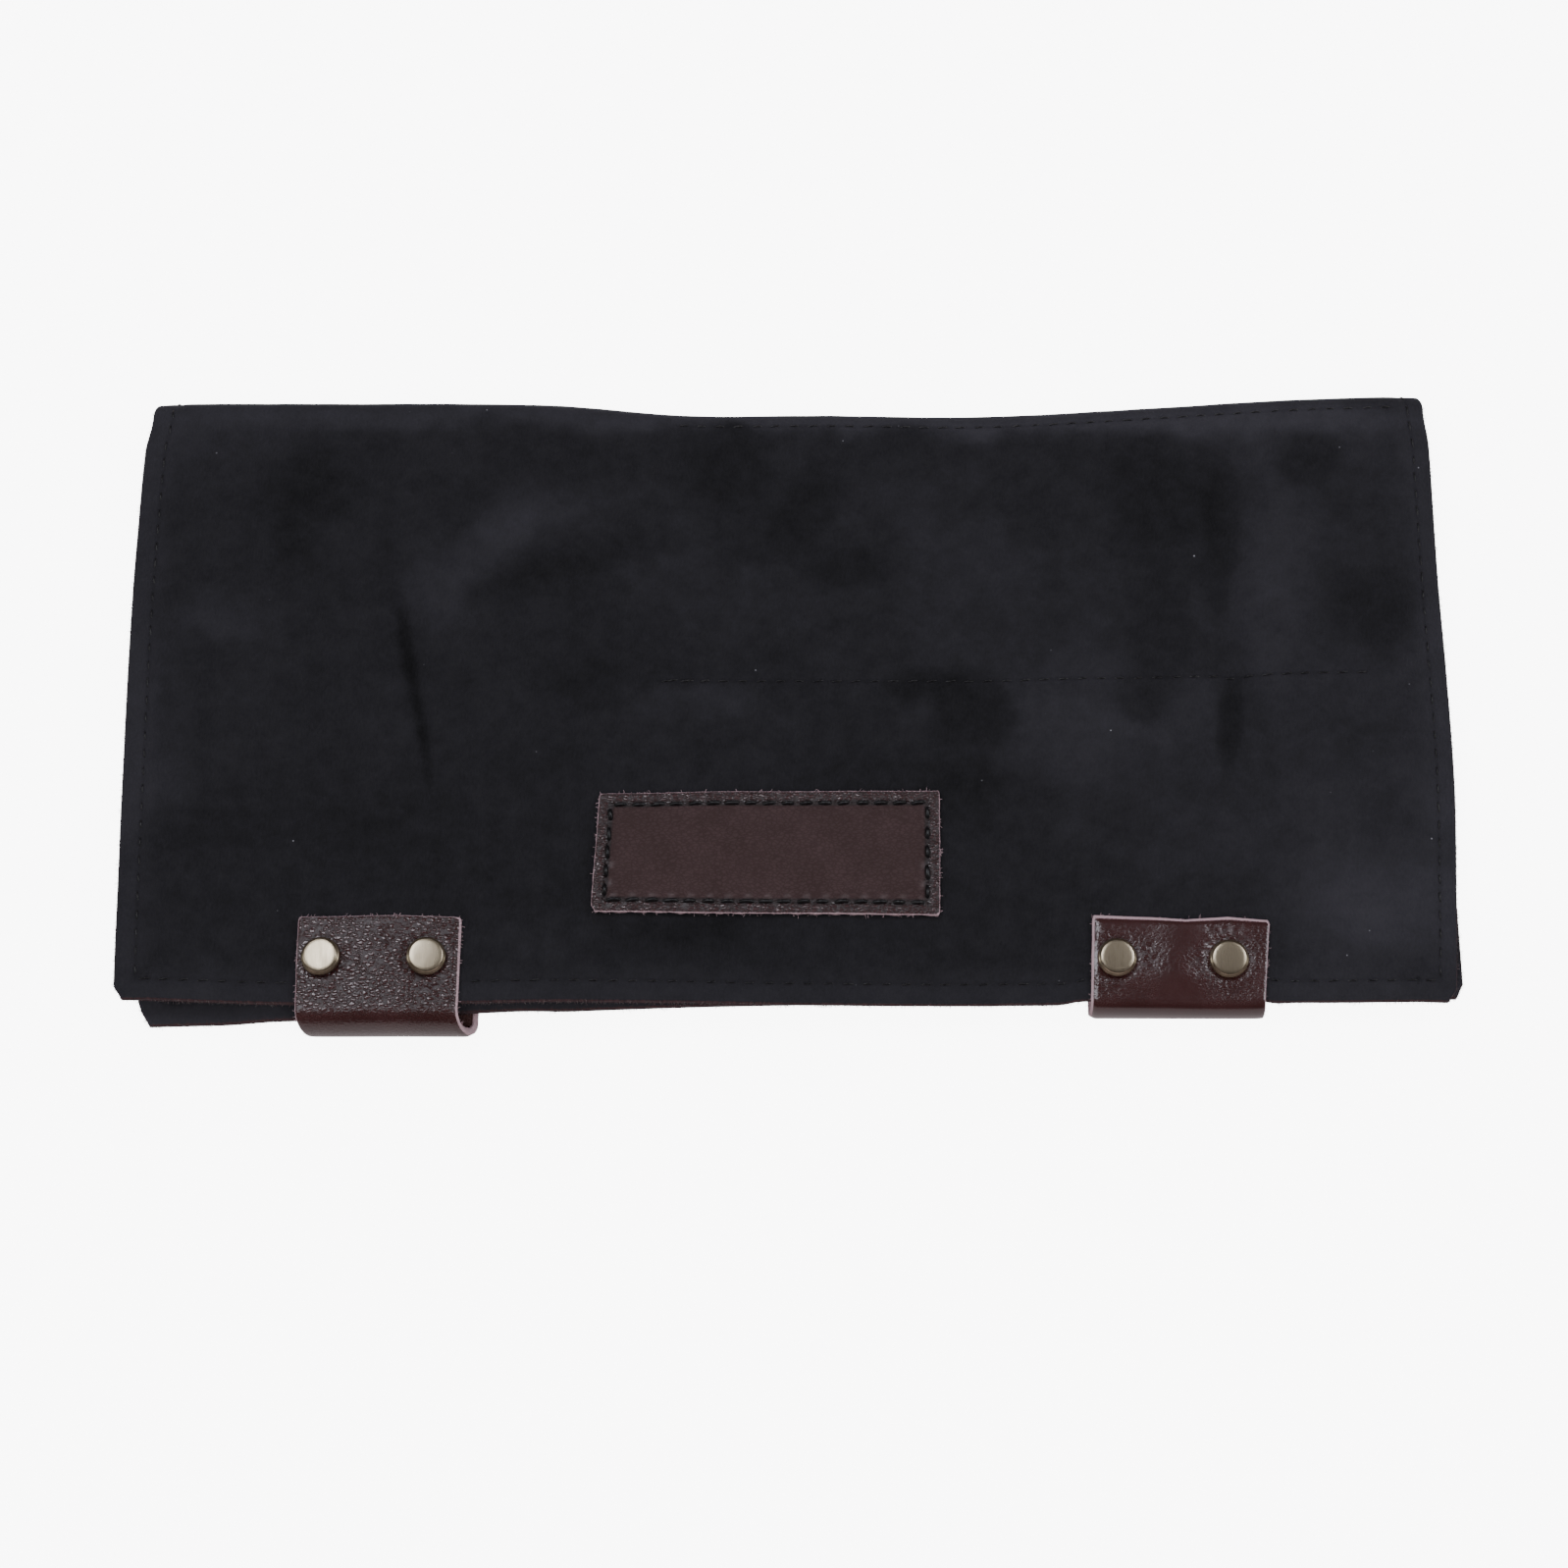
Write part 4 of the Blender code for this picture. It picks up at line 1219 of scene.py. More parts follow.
def tube(tree, curve, thickness, sides):
    """Round thread along a curve."""
    radius = times(tree, thickness, 0.5)
    ring = add_node(tree, "GeometryNodeCurvePrimitiveCircle", {"Resolution": sides, "Radius": radius})
    inputs = {"Curve": curve, "Profile Curve": ring.outputs[0], "Fill Caps": True}
    return add_node(tree, "GeometryNodeCurveToMesh", inputs).outputs[0]


def arched(tree, steps, start, middle, end):
    """Curve from start to end, drawn towards the middle point."""
    inputs = {"Resolution": steps, "Start": start, "Middle": middle, "End": end}
    return add_node(tree, "GeometryNodeCurveQuadraticBezier", inputs).outputs[0]


def stitch_tree():
    """Row of stitches: a thread that comes up from one hole and goes down the next."""
    tree, given, result = new_tree(
        "Row of stitches",
        (
            ("Length", "NodeSocketFloat", 0.0026),
            ("Thread", "NodeSocketFloat", 0.0006),
            ("Slant", "NodeSocketFloat", 0.15),
            ("Material", "NodeSocketMaterial", None),
        ),
    )
    reach = times(tree, given["Length"], 0.5)
    back = times(tree, reach, -1.0)
    sink = times(tree, given["Thread"], -0.55)
    peak = times(tree, given["Thread"], 1.15)
    middle = xyz(tree, 0.0, 0.0, peak)
    arc = arched(tree, 9, xyz(tree, back, 0.0, sink), middle, xyz(tree, reach, 0.0, sink))
    thread = tube(tree, arc, given["Thread"], 8)
    slant = add_node(tree, "FunctionNodeEulerToRotation", {0: xyz(tree, 0.0, 0.0, given["Slant"])})
    turned = add_node(tree, "GeometryNodeTransform", {"Geometry": thread, "Rotation": slant.outputs[0]})
    sway = random_vector(tree, (-0.09, -0.09, -0.05), (0.09, 0.09, 0.05), 11)
    along = vector_sum(tree, "ADD", vector_named(tree, "along"), sway)
    rotation = facing(tree, along, vector_named(tree, "up"))
    scale = random_vector(tree, (0.86, 0.90, 0.85), (1.08, 1.10, 1.12), 12)
    put_on_points(tree, given, turned.outputs[0], rotation, scale, result)
    return tree


def fibre_tree():
    """Loose fibres that stand out of a cut edge, each bent and tapered."""
    tree, given, result = new_tree(
        "Loose fibres",
        (
            ("Length", "NodeSocketFloat", 0.0008),
            ("Fibre", "NodeSocketFloat", 0.00005),
            ("Spread", "NodeSocketFloat", 0.8),
            ("Material", "NodeSocketMaterial", None),
        ),
    )
    ahead = times(tree, given["Length"], 0.45)
    aside = times(tree, given["Length"], 0.30)
    arc = arched(tree, 3, (0.0, 0.0, 0.0), xyz(tree, ahead, aside), xyz(tree, given["Length"]))
    share = add_node(tree, "GeometryNodeSplineParameter").outputs["Factor"]
    taper = scaled(tree, share, -0.8, 1.0)
    thinned = add_node(tree, "GeometryNodeSetCurveRadius", {"Curve": arc, "Radius": taper})
    fibre = tube(tree, thinned.outputs[0], given["Fibre"], 3)
    sway = random_vector(tree, (-1.0, -1.0, -1.0), (1.0, 1.0, 1.0), 21)
    swayed = add_node(tree, "ShaderNodeVectorMath", {0: sway}, operation="SCALE")
    tree.links.new(given["Spread"], swayed.inputs["Scale"])
    along = vector_sum(tree, "ADD", vector_named(tree, "along"), swayed.outputs[0])
    up = random_vector(tree, (-1.0, -1.0, -1.0), (1.0, 1.0, 1.0), 22)
    scale = random_vector(tree, (0.30, 0.5, 0.7), (1.0, 1.5, 1.2), 23)
    put_on_points(tree, given, fibre, facing(tree, along, up), scale, result)
    return tree


def shared_tree(name, maker):
    return bpy.data.node_groups.get(name) or maker()


def grown_piece(name, tree, points, along, up, settings):
    """Plain mesh of what a tree sets on points, each with the way it runs and the way up. What would go
    under the surface that the case lies on is pressed flat."""
    seeds = bpy.data.meshes.new(name + "_points")
    seeds.from_pydata((points + SHIFT).tolist(), [], [])
    put_values(seeds, "along", along)
    put_values(seeds, "up", up)
    holder = bpy.data.objects.new(name + "_points", seeds)
    bpy.context.scene.collection.objects.link(holder)
    modifier = holder.modifiers.new("Grow", "NODES")
    modifier.node_group = tree
    sockets = {item.name: item.identifier for item in tree.interface.items_tree if item.in_out == "INPUT"}
    for label, value in settings.items():
        modifier[sockets[label]] = value
    bpy.context.view_layer.update()
    shown = holder.evaluated_get(bpy.context.evaluated_depsgraph_get())
    mesh = bpy.data.meshes.new_from_object(shown)
    if not mesh.polygons:
        raise RuntimeError(f"{name}: the node tree made nothing")
    bpy.data.objects.remove(holder, do_unlink=True)
    bpy.data.meshes.remove(seeds)
    grown = np.empty(3 * len(mesh.vertices), dtype=np.float32)
    mesh.vertices.foreach_get("co", grown)
    grown = grown.reshape(-1, 3)
    low = np.minimum(grown[:, 2] / PRESSED_DEPTH, 0.0)
    grown[:, 2] = np.maximum(grown[:, 2], 0.0) - PRESSED_DEPTH * (1 - np.exp(low))
    mesh.vertices.foreach_set("co", grown.ravel())
    mesh.update()
    mesh.name = name
    for key in ("along", "up"):
        if key in mesh.attributes:
            mesh.attributes.remove(mesh.attributes[key])
    return finish_piece(name, mesh, None)


def paced(points, pitch):
    """Places about a pitch apart that fill a line of points, as fractional steps along it."""
    run = run_along(points)
    count = max(1, round(run[-1] / pitch))
    return np.interp((np.arange(count) + 0.5) * run[-1] / count, run, np.arange(len(points)))


def row_of_stitches(face, rows, columns, pitch):
    """Stitch middles along a path over a face: points, the way each runs, and the way up."""
    fine = np.linspace(0.0, 1.0, 900)
    share = np.linspace(0.0, 1.0, len(rows))
    rows, columns = np.interp(fine, share, rows), np.interp(fine, share, columns)
    points, normals = face.read(rows, columns)
    at = paced(points, pitch)

    def read_at(places, vectors):
        number = np.arange(len(vectors))
        return np.stack([np.interp(places, number, vectors[:, k]) for k in range(3)], axis=-1)

    along = unit(read_at(at + 1.5, points) - read_at(at - 1.5, points))
    return read_at(at, points), along, unit(read_at(at, normals))


def sewn_round(face, rows, columns, pitch):
    """Stitches along straight lines from corner to corner."""
    pairs = [slice(k, k + 2) for k in range(len(rows) - 1)]
    return joined([row_of_stitches(face, rows[pair], columns[pair], pitch) for pair in pairs])


def flap_place(x, y):
    """Column and row values of a point on the flap, found by stepping closer."""
    along, share = 2 * x / CASE_WIDTH, np.full_like(x, 0.5)
    for _ in range(4):
        hem, top = hem_line(along), fold_line(along) - FOLD_DEPTH
        share = (y - hem) / (top - hem)
        left, right = side_edges(share, y - hem, HEM_CORNER)
        along = 2 * (x - left) / (right - left) - 1
    return along, share


def suede_seams(face, pitch):
    """Every row of stitches on the suede."""
    left, right = -1 + 2 * SEAM_LEFT / CASE_WIDTH, 1 - 2 * SEAM_RIGHT / CASE_WIDTH
    low = SEAM_HEM / CASE_HEIGHT
    along = np.linspace(left, right, 60)
    rows = [
        row_of_stitches(face, np.full(60, low), along, pitch),
        row_of_stitches(face, np.linspace(low, 3 - low, 60), np.full(60, left), pitch),
        row_of_stitches(face, np.linspace(low, 3 - low, 60), np.full(60, right), pitch),
        row_of_stitches(face, np.full(60, 3 - low), along, pitch),
    ]
    x = np.linspace(MID_SEAM[0][0], MID_SEAM[-1][0], 60)
    column, row = flap_place(x, mid_seam_height(x))
    rows.append(row_of_stitches(face, row, column, pitch))
    short = x[:5]
    column, row = flap_place(short + 0.0017, mid_seam_height(short) + 0.0002)
    rows.append(row_of_stitches(face, row, column, pitch))
    along = np.linspace(*TOP_SEAM_ENDS, 60)
    rows.append(row_of_stitches(face, np.full(60, 1 + TOP_SEAM_TURN), along, pitch))
    return joined(rows)


def edge_fibres(face, thickness, count, seed):
    """Roots of loose fibres round a face's cut edge, with the way out and the way up at each."""
    chance = np.random.default_rng(seed)
    loop, out = face.border()
    outer = face.points.reshape(-1, 3)[loop]
    down = -face.normals.reshape(-1, 3)[loop]
    run = run_along(np.concatenate([outer, outer[:1]]))
    at = np.interp(chance.random(count) * run[-1], run, np.arange(len(run)))
    low = at.astype(int) % len(loop)
    high = (low + 1) % len(loop)
    t = (at % 1.0)[:, None]
    depth = chance.random(len(at))[:, None]
    root = outer[low] * (1 - t) + outer[high] * t + down[low] * thickness * depth + out[low] * FIBRE_ROOT
    return root, out[low] + 0.25 * down[low] * (2 * depth - 1), -down[low]


# Leather tabs and patch

def raised(away, relief):
    """Rise of one part of the relief at distances from its line or middle."""
    return relief.rise * bell(away - relief.place, relief.width)


def tab_rows(tab, cell):
    """Heights up the front leg, angles round the turn and shares up the back leg for a tab's rows."""
    fronts = np.linspace(1.0, 0.0, int(tab.front_leg * TAB_WIDTH / cell))
    turns = np.linspace(0.0, math.pi, int(TAB_TURN_LENGTH / cell))
    backs = np.linspace(0.0, 1.0, int(TAB_BACK_LEG / (1.6 * cell)))
    return fronts, turns, backs


def tab_inner_points(tab, across, cell):
    """Points of a tab's inner face, from its front end round the hem to its back end."""
    turn_y = tab_turn(tab)
    half_width = tab_half_width(tab)
    front_length = tab.front_leg * TAB_WIDTH
    wave = np.interp(across, *TAB_FRONT_WAVE[tab.name])
    fronts, turns, backs = tab_rows(tab, cell)
    slip = tab.slip * TAB_WIDTH
    lines = []
    for up in fronts:
        corner = rounding((1 - up) * front_length, TAB_CORNER)
        x = tab_x(tab) + across * (half_width - corner)
        x = x + TAB_WIDTH * up * (tab.lean + tab.flare * across / 2)
        lines.append(on_flap(x, turn_y + up * front_length + wave * up**6, CLEARANCE))
    front = lines[-1]
    half = (front[:, 2] - TAB_THICKNESS) / 2
    for turn in turns[1:]:
        x = front[:, 0] + slip * eased(turn / math.pi)
        y = front[:, 1] + (turn_y - front[:, 1]) * turn / math.pi - tab.reach * TAB_WIDTH * math.sin(turn)
        lines.append(np.stack([x, y, TAB_THICKNESS + half + half * math.cos(turn)], axis=-1))
    for up in backs[1:]:
        corner = rounding((1 - up) * TAB_BACK_LEG, TAB_CORNER)
        x = front[:, 0] + slip - across * corner
        y = np.full_like(x, turn_y + up * TAB_BACK_LEG)
        lines.append(np.stack([x, y, np.full_like(x, TAB_THICKNESS)], axis=-1))
    return np.array(lines), len(fronts), len(turns)


def stud_relief(points, tab):
    """How the leather sinks under each cap and gathers into small folds round it."""
    total = np.zeros(points.shape[:-1])
    for _, x, y, owner in stud_middles():
        if owner is not tab:
            continue
        dx, dy = points[..., 0] - x, points[..., 1] - y
        near = np.hypot(dx, dy)
        for ring in CAP_RELIEF:
            total += raised(near, ring)
        total += np.cos(CAP_FOLD_COUNT * np.arctan2(dy, dx) + 9 * x / TAB_WIDTH) * raised(near, CAP_FOLDS)
    return total * (points[..., 2] > CLOSED_HEIGHT - 0.002)


def tab_face(tab, leather):
    """Outer face of a tab, and the values that its material reads."""
    across = np.linspace(1.0, -1.0, int(2 * tab_half_width(tab) / leather.cell))
    inner, front_count, turn_count = tab_inner_points(tab, across, leather.cell)
    rows = np.arange(len(inner))
    face = Face(rows, across[::-1], inner)
    face.move_to(inner + face.normals * TAB_THICKNESS)
    points = face.points
    length = run_along(points[:, len(across) // 2])
    uv = np.stack(np.broadcast_arrays(points[:1, :, 0], -length[:, None]), axis=-1)
    flat = in_plane(uv[..., 0], uv[..., 1])

    from_side = (1 - np.abs(across))[None, :] * tab_half_width(tab)
    from_front = length[:, None]
    edge = np.minimum(from_side, from_front)
    rise = stud_relief(points, tab) + raised(edge, TAB_EDGE)
    from_skived = (1 + np.sign(tab.centre) * across)[None, :] * tab_half_width(tab) * np.ones_like(rise)
    skived = np.clip(1 - from_skived / SKIVED_WIDTH, 0.0, 1.0)
    swell = TAB_SWELLS[tab.name]
    skived = np.maximum(skived, swell.skived_front * np.clip(1.1 - from_front / SKIVED_WIDTH, 0.0, 1.0))
    rise -= SKIVED_DEPTH * skived
    on_front = eased((front_count - rows) / (0.35 * front_count))[:, None]
    uneven = 0.00012 * grained(flat, 0.011, 34) + 0.00003 * grained(flat, 0.0035, 31)
    rise += on_front * (swell.rise * bell(across - swell.across, SWELL_WIDTH)[None, :] + uneven)
    face.move_to(points + face.normals * rise[..., None])

    round_bend = np.clip((rows - front_count * 0.93) / (turn_count * 0.20), 0.0, 1.0)[:, None]
    round_caps = np.zeros(points.shape[:-1])
    for _, x, y, _ in stud_middles():
        round_caps += bell(np.hypot(points[..., 0] - x, points[..., 1] - y), CAP_GRAIN_WIDTH)
    crinkled = np.clip(round_caps * (0.5 + grained(flat, 0.007, 35)), 0.0, 1.0)
    coarse = (swell.grain + (1 - swell.grain) * crinkled) * (1 - 0.80 * eased(round_bend))
    wear_and_sheen = 0.35 * bell(edge, RUBBED_EDGE_WIDTH) + 0.25 * grained(flat, 0.009, 33)
    back_start = length[front_count + turn_count - 2]
    into_back = from_front - back_start
    seam = np.minimum(np.minimum(from_side, length[-1] - from_front), into_back - 0.003) - TAB_SEAM
    values = {
        "grain": coarse[..., None],
        "wear_and_sheen": wear_and_sheen[..., None],
        "seam": seam[..., None],
        "skived": skived[..., None],
    }
    return face, uv, values, (front_count, turn_count)


def tab_back_stitches(face, counts, pitch):
    """Box of stitches that holds a tab's back leg to the back panel."""
    rows = len(face.rows)
    start = counts[0] + counts[1] + 6
    inset = 2 * TAB_SEAM / TAB_WIDTH
    columns = np.array([1 - inset, 1 - inset, -1 + inset, -1 + inset, 1 - inset])
    end = rows - 1 - (rows - start) * TAB_SEAM / TAB_BACK_LEG
    return sewn_round(face, np.array([start, end, end, start, start], float), columns, pitch)


def patch_face(leather, pitch):
    """Outer face of the patch, and the values that its material reads."""
    columns = np.linspace(-1.0, 1.0, int(PATCH_WIDTH / leather.cell))
    rows = np.linspace(-1.0, 1.0, int(PATCH_HEIGHT / leather.cell))
    across, up = np.broadcast_arrays(columns[None, :], rows[:, None])
    corner = {key: np.array(place) for key, place in PATCH_CORNERS.items()}
    s, t = ((across + 1) / 2)[..., None], ((up + 1) / 2)[..., None]
    lower = corner["lower_left"] * (1 - s) + corner["lower_right"] * s
    upper = corner["upper_left"] * (1 - s) + corner["upper_right"] * s
    place = lower * (1 - t) + upper * t
    x = PATCH_MIDDLE[0] * CASE_WIDTH + place[..., 0] * PATCH_WIDTH / 2
    y = PATCH_MIDDLE[1] * CASE_HEIGHT + place[..., 1] * PATCH_HEIGHT / 2
    from_side = (1 - np.abs(across)) * PATCH_WIDTH / 2
    from_end = (1 - np.abs(up)) * PATCH_HEIGHT / 2
    round_off = np.where((across < 0) & (up < 0), 0.0009, 0.0003)
    x = x - np.sign(across) * rounding(from_end, round_off) * (1 - from_side * 2 / PATCH_WIDTH) ** 8
    face = Face(rows, columns, on_flap(x, y, CLEARANCE))
    face.move_to(face.points + face.normals * PATCH_THICKNESS)

    edge = np.minimum(from_side, from_end)
    seam = edge - PATCH_SEAM
    run = np.where(from_side < from_end, y, x)
    pucker = np.cos(2 * math.pi * run / pitch)
    flat = in_plane(x, y)
    border = 1 - eased((seam + BORDER_OVERLAP) / BORDER_WIDTH)
    rise = raised(seam, PATCH_GROOVE) * (0.75 + 0.25 * pucker) + raised(edge, PATCH_EDGE)
    rise += border * pucker * raised(seam, PATCH_PUCKER) + pucker * raised(seam, PATCH_INNER_PUCKER)
    rise += border * (0.00016 * grained(flat, 0.0022, 41) + 0.00008 * grained(flat, 0.0011, 42))
    rise += 0.00005 * (1 - border) * grained(flat, 0.006, 43)
    face.move_to(face.points + face.normals * rise[..., None])
    inner_line = bell(seam - PATCH_INNER_PUCKER.place, PATCH_INNER_PUCKER.width)

    values = {
        "grain": (0.30 + 0.70 * border)[..., None],
        # Lighter border: partly rubbed wear, partly painted sheen; the spots on the bottom seam's puckers are
        # painted glints
        "wear_and_sheen": (0.72 * border + 0.5 * inner_line * np.clip(pucker, 0.0, 1.0) * (up < 0))[..., None],
        "seam": seam[..., None],
        "skived": np.zeros_like(seam)[..., None],
    }
    uv = np.stack([x, y], axis=-1)
    return face, uv, values


def patch_stitches(face, pitch):
    """Stitches round the patch."""
    inset_x, inset_y = 2 * PATCH_SEAM / PATCH_WIDTH, 2 * PATCH_SEAM / PATCH_HEIGHT
    columns = np.array([-1 + inset_x, 1 - inset_x, 1 - inset_x, -1 + inset_x, -1 + inset_x])
    rows = np.array([-1 + inset_y, -1 + inset_y, 1 - inset_y, 1 - inset_y, -1 + inset_y])
    return sewn_round(face, rows, columns, pitch)


# Press studs

def stud_outline():
    """Turned outline from the top of the cap down to the base, with the flap's face at height 0."""
    seat = CLEARANCE + TAB_THICKNESS + CLEARANCE
    under = -SUEDE_THICKNESS - CLEARANCE
    radius, post, base = SNAP_DIAMETER / 2, SNAP_POST_DIAMETER / 2, SNAP_BASE_DIAMETER / 2
    points = [(0.0, seat + SNAP_HEIGHT)]
    points += [(p.radius * radius, seat + p.height * SNAP_HEIGHT) for p in reversed(CAP_OUTLINE)]
    points += [(post * 1.06, seat), (post, seat - 0.00008), (post, under + 0.00008), (post * 1.06, under)]
    points += [(base * 0.97, under), (base, under - 0.00010)]
    points += [(base, under - SNAP_BASE_THICKNESS + 0.00010), (base * 0.95, under - SNAP_BASE_THICKNESS)]
    points += [(0.0, under - SNAP_BASE_THICKNESS)]
    return points


def turned_mesh(name, outline, sides, place, up):
    """Mesh turned about an axis through a place, from an outline of radius and height."""
    angles = np.linspace(0.0, 2 * math.pi, sides, endpoint=False)
    first = unit(np.cross(np.array([0.0, 1.0, 0.0]), up))
    second = np.cross(up, first)
    rings = [
        place + up * height + radius * (np.cos(angles)[:, None] * first + np.sin(angles)[:, None] * second)
        for radius, height in outline[1:-1]
    ]
    ends = np.array([place + up * outline[0][1], place + up * outline[-1][1]])
    points = np.concatenate([*rings, ends]) + SHIFT
    step = np.arange(sides)
    following = np.roll(step, -1)
    faces = []
    for k in range(len(rings) - 1):
        upper, lower = k * sides, (k + 1) * sides
        corners = [upper + step, lower + step, lower + following, upper + following]
        faces += np.stack(corners, axis=-1).tolist()
    top, bottom, last = len(points) - 2, len(points) - 1, (len(rings) - 1) * sides
    faces += [[top, a, b] for a, b in zip(step.tolist(), following.tolist())]
    faces += [[bottom, last + b, last + a] for a, b in zip(step.tolist(), following.tolist())]
    mesh = bpy.data.meshes.new(name)
    mesh.from_pydata(points.tolist(), [], faces)
    mesh.shade_smooth()
    return mesh


# Operators

def shared_material(name, maker, *given):
    return bpy.data.materials.get(name) or maker(*given)


def sewn_piece(name, found, stitches, length, thread):
    """Stitches of black thread at the places found."""
    settings = {
        "Length": length,
        "Thread": thread,
        "Slant": stitches.slant,
        "Material": shared_material("black_thread", thread_material, stitches),
    }
    return grown_piece(name, shared_tree("Row of stitches", stitch_tree), *found, settings)


class CASE_OT_suede_body(bpy.types.Operator):
    """Make the folded suede case with its relief, nap and cut edges"""

    bl_idname = "scissor_case.suede_body"
    bl_label = "Suede body"
    bl_options = {"REGISTER"}

    def execute(self, context):
        suede = context.scene.case_suede
        face, uv, values = suede_face(suede)
        body = walled_mesh(
            "suede_body", face, suede.thickness, SUEDE_EDGE, uv, values,
            shared_material("black_suede", suede_material, suede),
        )
        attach(body, BODY)
        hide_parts("case_body")
        return {"FINISHED"}


class CASE_OT_suede_fuzz(bpy.types.Operator):
    """Grow the loose fibres along the suede's cut edges"""

    bl_idname = "scissor_case.suede_fuzz"
    bl_label = "Suede edge fuzz"
    bl_options = {"REGISTER"}

    def execute(self, context):
        suede = context.scene.case_suede
        face, _, _ = suede_face(suede)
        root, out, up = edge_fibres(face, suede.thickness, suede.fuzz_count, 5)
        settings = {
            "Length": suede.fuzz_length,
            "Fibre": FIBRE_THICKNESS,
            "Spread": 0.75,
            "Material": shared_material("suede_fuzz", fuzz_material, suede),
        }
        tree = shared_tree("Loose fibres", fibre_tree)
        fuzz = grown_piece("suede_edge_fuzz", tree, root, out, up, settings)
        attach(fuzz, BODY)
        return {"FINISHED"}


class CASE_OT_suede_stitches(bpy.types.Operator):
    """Sew the seams round the suede and across its flap"""

    bl_idname = "scissor_case.suede_stitches"
    bl_label = "Suede stitches"
    bl_options = {"REGISTER"}

    def execute(self, context):
        suede, stitches = context.scene.case_suede, context.scene.case_stitches
        face, _, _ = suede_face(suede)
        found = suede_seams(face, stitches.pitch)
        sewn = sewn_piece("suede_stitches", found, stitches, stitches.suede_length, stitches.suede_thread)
        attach(sewn, BODY)
        return {"FINISHED"}


class CASE_OT_patch(bpy.types.Operator):
    """Make the bare leather patch and sew it on"""

    bl_idname = "scissor_case.patch"
    bl_label = "Leather patch"
    bl_options = {"REGISTER"}

    def execute(self, context):
        leather, stitches = context.scene.case_leather, context.scene.case_stitches
        face, uv, values = patch_face(leather, stitches.pitch)
        material = leather_material(
            "patch_leather", leather, leather.patch, leather.patch_worn_and_sheen, PATCH_FINISH
        )
        patch = walled_mesh("patch_leather", face, PATCH_THICKNESS, LEATHER_EDGE, uv, values, material)
        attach(patch, BODY)
        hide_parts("patch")
        found = patch_stitches(face, stitches.pitch)
        sewn = sewn_piece("patch_stitches", found, stitches, stitches.patch_length, stitches.patch_thread)
        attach(sewn, BODY)
        return {"FINISHED"}


class CASE_OT_tabs(bpy.types.Operator):
    """Make the two leather tabs that wrap the hem, with the stitches that hold them at the back"""

    bl_idname = "scissor_case.tabs"
    bl_label = "Leather tabs"
    bl_options = {"REGISTER"}

    def execute(self, context):
        leather, stitches = context.scene.case_leather, context.scene.case_stitches
        material = leather_material("tab_leather", leather, leather.tab, leather.tab_worn, TAB_FINISH)
        for tab in TABS:
            face, uv, values, counts = tab_face(tab, leather)
            name = tab.name + "_leather"
            strap = walled_mesh(name, face, TAB_THICKNESS, LEATHER_EDGE, uv, values, material)
            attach(strap, BODY)
            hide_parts(tab.name)
            found = tab_back_stitches(face, counts, stitches.pitch)
            name = tab.name + "_stitches"
            sewn = sewn_piece(name, found, stitches, stitches.patch_length, stitches.suede_thread)
            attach(sewn, BODY)
        return {"FINISHED"}


class CASE_OT_leather_fibres(bpy.types.Operator):
    """Grow the few stray fibres at the leather's cut edges"""

    bl_idname = "scissor_case.leather_fibres"
    bl_label = "Leather edge fibres"
    bl_options = {"REGISTER"}

    def execute(self, context):
        leather = context.scene.case_leather
        pitch = context.scene.case_stitches.pitch
        faces = [(tab_face(tab, leather)[0], TAB_THICKNESS, TAB_FIBRES) for tab in TABS]
        faces.append((patch_face(leather, pitch)[0], PATCH_THICKNESS, PATCH_FIBRES))
        found = [edge_fibres(face, wall, count, 60 + k) for k, (face, wall, count) in enumerate(faces)]
        material, _, shader = new_material("leather_fibres", leather.cut, 0.9, Sheen_Weight=0.2)
        shader.inputs["Base Color"].default_value = colour(leather.cut)
        settings = {
            "Length": LEATHER_FIBRE_LENGTH,
            "Fibre": FIBRE_THICKNESS,
            "Spread": 0.9,
            "Material": material,
        }
        tree = shared_tree("Loose fibres", fibre_tree)
        strays = grown_piece("leather_edge_fibres", tree, *joined(found), settings)
        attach(strays, BODY)
        return {"FINISHED"}


class CASE_OT_studs(bpy.types.Operator):
    """Turn the four brass press studs"""

    bl_idname = "scissor_case.studs"
    bl_label = "Press studs"
    bl_options = {"REGISTER"}

    def execute(self, context):
        studs = context.scene.case_studs
        material = brass_material(studs)
        for name, x, y, _ in stud_middles():
            place = on_flap(x, y, 0.0)
            up = unit(on_flap(x, y, 1.0) - place)
            mesh = turned_mesh(name + "_brass", stud_outline(), studs.sides, place, up)
            stud = finish_piece(name + "_brass", mesh, material)
            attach(stud, BODY)
            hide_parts(name)
        return {"FINISHED"}


def soft_box(name, place, size, power, tint=(1.0, 1.0, 1.0)):
    """Rectangular lamp that faces the middle of the case."""
    lamp = bpy.data.lights.new(name, "AREA")
    lamp.shape = "RECTANGLE"
    lamp.size, lamp.size_y = size
    lamp.energy = power
    lamp.color = tint
    made = bpy.data.objects.new(name, lamp)
    made.location = place
    made.rotation_euler = (-Vector(place)).to_track_quat("-Z", "Y").to_euler()
    bpy.context.scene.collection.objects.link(made)
    return made


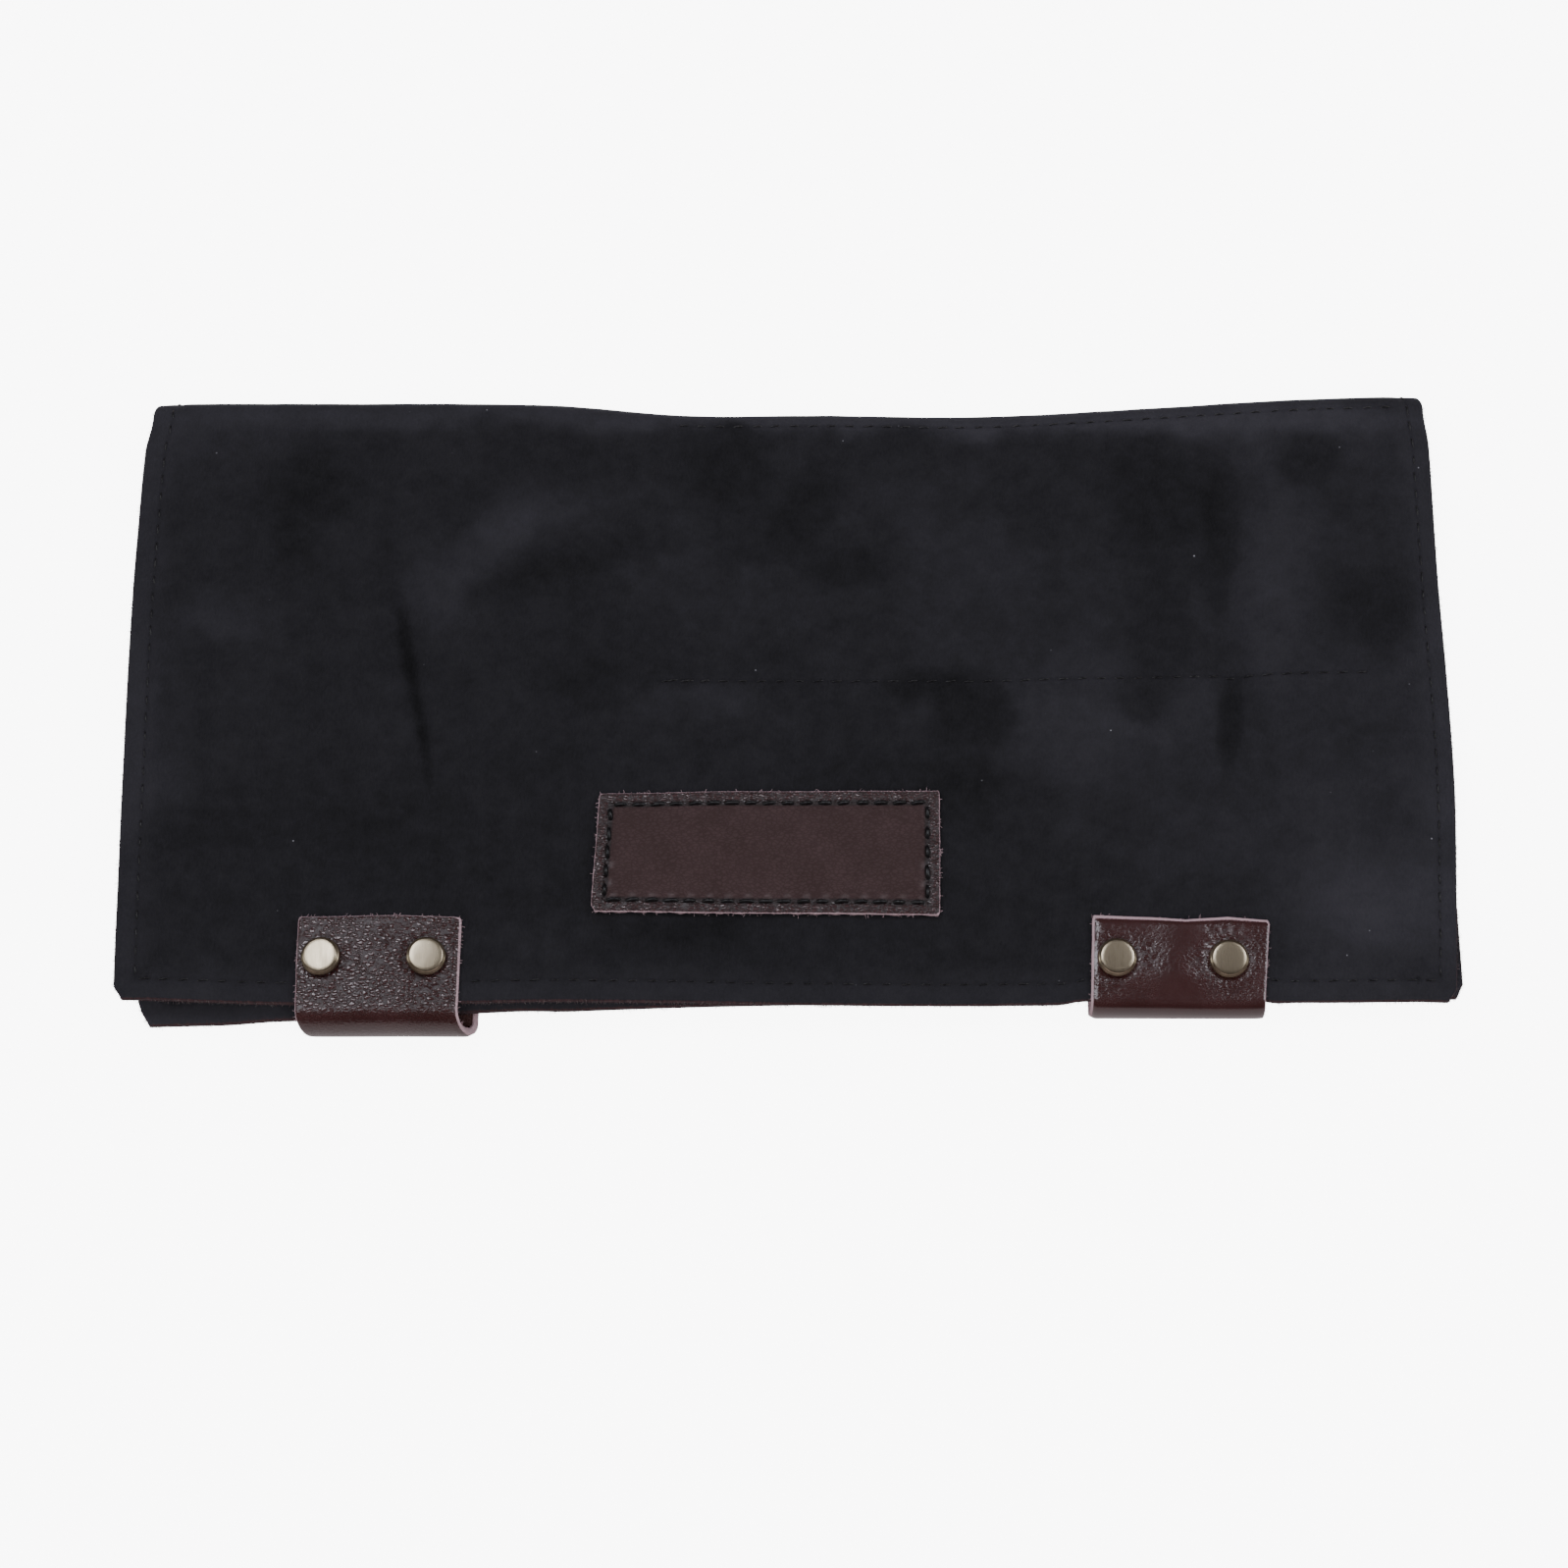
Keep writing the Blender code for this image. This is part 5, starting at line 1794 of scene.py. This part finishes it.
class CASE_OT_stage(bpy.types.Operator):
    """Lay the floor, hang the lights and place the camera"""

    bl_idname = "scissor_case.stage"
    bl_label = "Stage"
    bl_options = {"REGISTER"}

    def execute(self, context):
        stage = context.scene.case_stage
        mesh = bpy.data.meshes.new("floor")
        corners = ((-1, -1), (1, -1), (1, 1), (-1, 1))
        points = [(x * FLOOR_REACH, y * FLOOR_REACH, FLOOR_LEVEL) for x, y in corners]
        mesh.from_pydata(points, [], [(0, 1, 2, 3)])
        mesh.materials.append(floor_material(stage))
        floor = bpy.data.objects.new("floor", mesh)
        context.scene.collection.objects.link(floor)
        # Only the camera sees the floor. What lights the case from below, and what shows in the brass
        # under the horizon, is the even lower half of the world
        floor.visible_glossy = False
        floor.visible_diffuse = False

        world = bpy.data.worlds.new("Room")
        world.use_nodes = True
        sky = world.node_tree
        way = add_node(sky, "ShaderNodeTexCoord").outputs["Generated"]
        height = add_node(sky, "ShaderNodeSeparateXYZ", {0: way}).outputs["Z"]
        feed(sky, sky.nodes["Background"], Strength=ramped(sky, height, 0.0, -0.1, stage.room, stage.table))
        sky.nodes["Background"].inputs["Color"].default_value = colour(TABLE_TINT)
        context.scene.world = world

        # The front light lights the case and isn't mirrored in it, because it would lay a haze over the
        # dark suede and the grain. The leather and the brass mirror the two lights behind
        front = soft_box("front_light", (0.0, -0.60, 1.10), (1.10, 0.70), stage.front_power)
        front.visible_glossy = False
        for side, across in (("left", -0.36), ("right", 0.86)):
            place = (across, 0.26, 1.00)
            soft_box(f"back_{side}_light", place, (0.50, 0.50), stage.back_power, BACK_TINT)
        for side, across in (("left", -1.05), ("right", 1.05)):
            soft_box(f"{side}_light", (across, 0.00, 0.50), (0.30, 0.80), stage.side_power)

        view = bpy.data.cameras.new("photo_camera")
        view.lens = stage.lens
        view.sensor_width = SENSOR_WIDTH
        view.clip_start = 0.01
        camera = bpy.data.objects.new("photo_camera", view)
        away = Vector((0.0, -math.cos(stage.elevation), math.sin(stage.elevation)))
        camera.location = Vector(stage.aim) + away * stage.distance
        camera.rotation_euler = (math.pi / 2 - stage.elevation, 0.0, 0.0)
        context.scene.collection.objects.link(camera)
        context.scene.camera = camera
        return {"FINISHED"}


OPERATORS = (
    CASE_OT_suede_body,
    CASE_OT_suede_fuzz,
    CASE_OT_suede_stitches,
    CASE_OT_patch,
    CASE_OT_tabs,
    CASE_OT_leather_fibres,
    CASE_OT_studs,
    CASE_OT_stage,
)
SETTINGS = {
    "case_suede": SuedeSettings,
    "case_stitches": StitchSettings,
    "case_leather": LeatherSettings,
    "case_studs": StudSettings,
    "case_stage": StageSettings,
}


class CASE_PT_panel(bpy.types.Panel):
    """Steps and settings of the scissor case"""

    bl_idname = "CASE_PT_panel"
    bl_label = "Scissor case"
    bl_space_type = "VIEW_3D"
    bl_region_type = "UI"
    bl_category = "Scissor case"

    def draw(self, context):
        for step in OPERATORS:
            self.layout.operator(step.bl_idname)
        for key, group in SETTINGS.items():
            box = self.layout.box()
            box.label(text=group.__doc__)
            for setting in group.__annotations__:
                box.prop(getattr(context.scene, key), setting)


def register():
    for group in SETTINGS.values():
        bpy.utils.register_class(group)
    for key, group in SETTINGS.items():
        setattr(bpy.types.Scene, key, PointerProperty(type=group))
    for step in OPERATORS:
        bpy.utils.register_class(step)
    bpy.utils.register_class(CASE_PT_panel)


def unregister():
    bpy.utils.unregister_class(CASE_PT_panel)
    for step in reversed(OPERATORS):
        bpy.utils.unregister_class(step)
    for key, group in SETTINGS.items():
        delattr(bpy.types.Scene, key)
        bpy.utils.unregister_class(group)


def main():
    register()
    for step in OPERATORS:
        family, action = step.bl_idname.split(".")
        getattr(getattr(bpy.ops, family), action)()


if __name__ == "__main__":
    main()
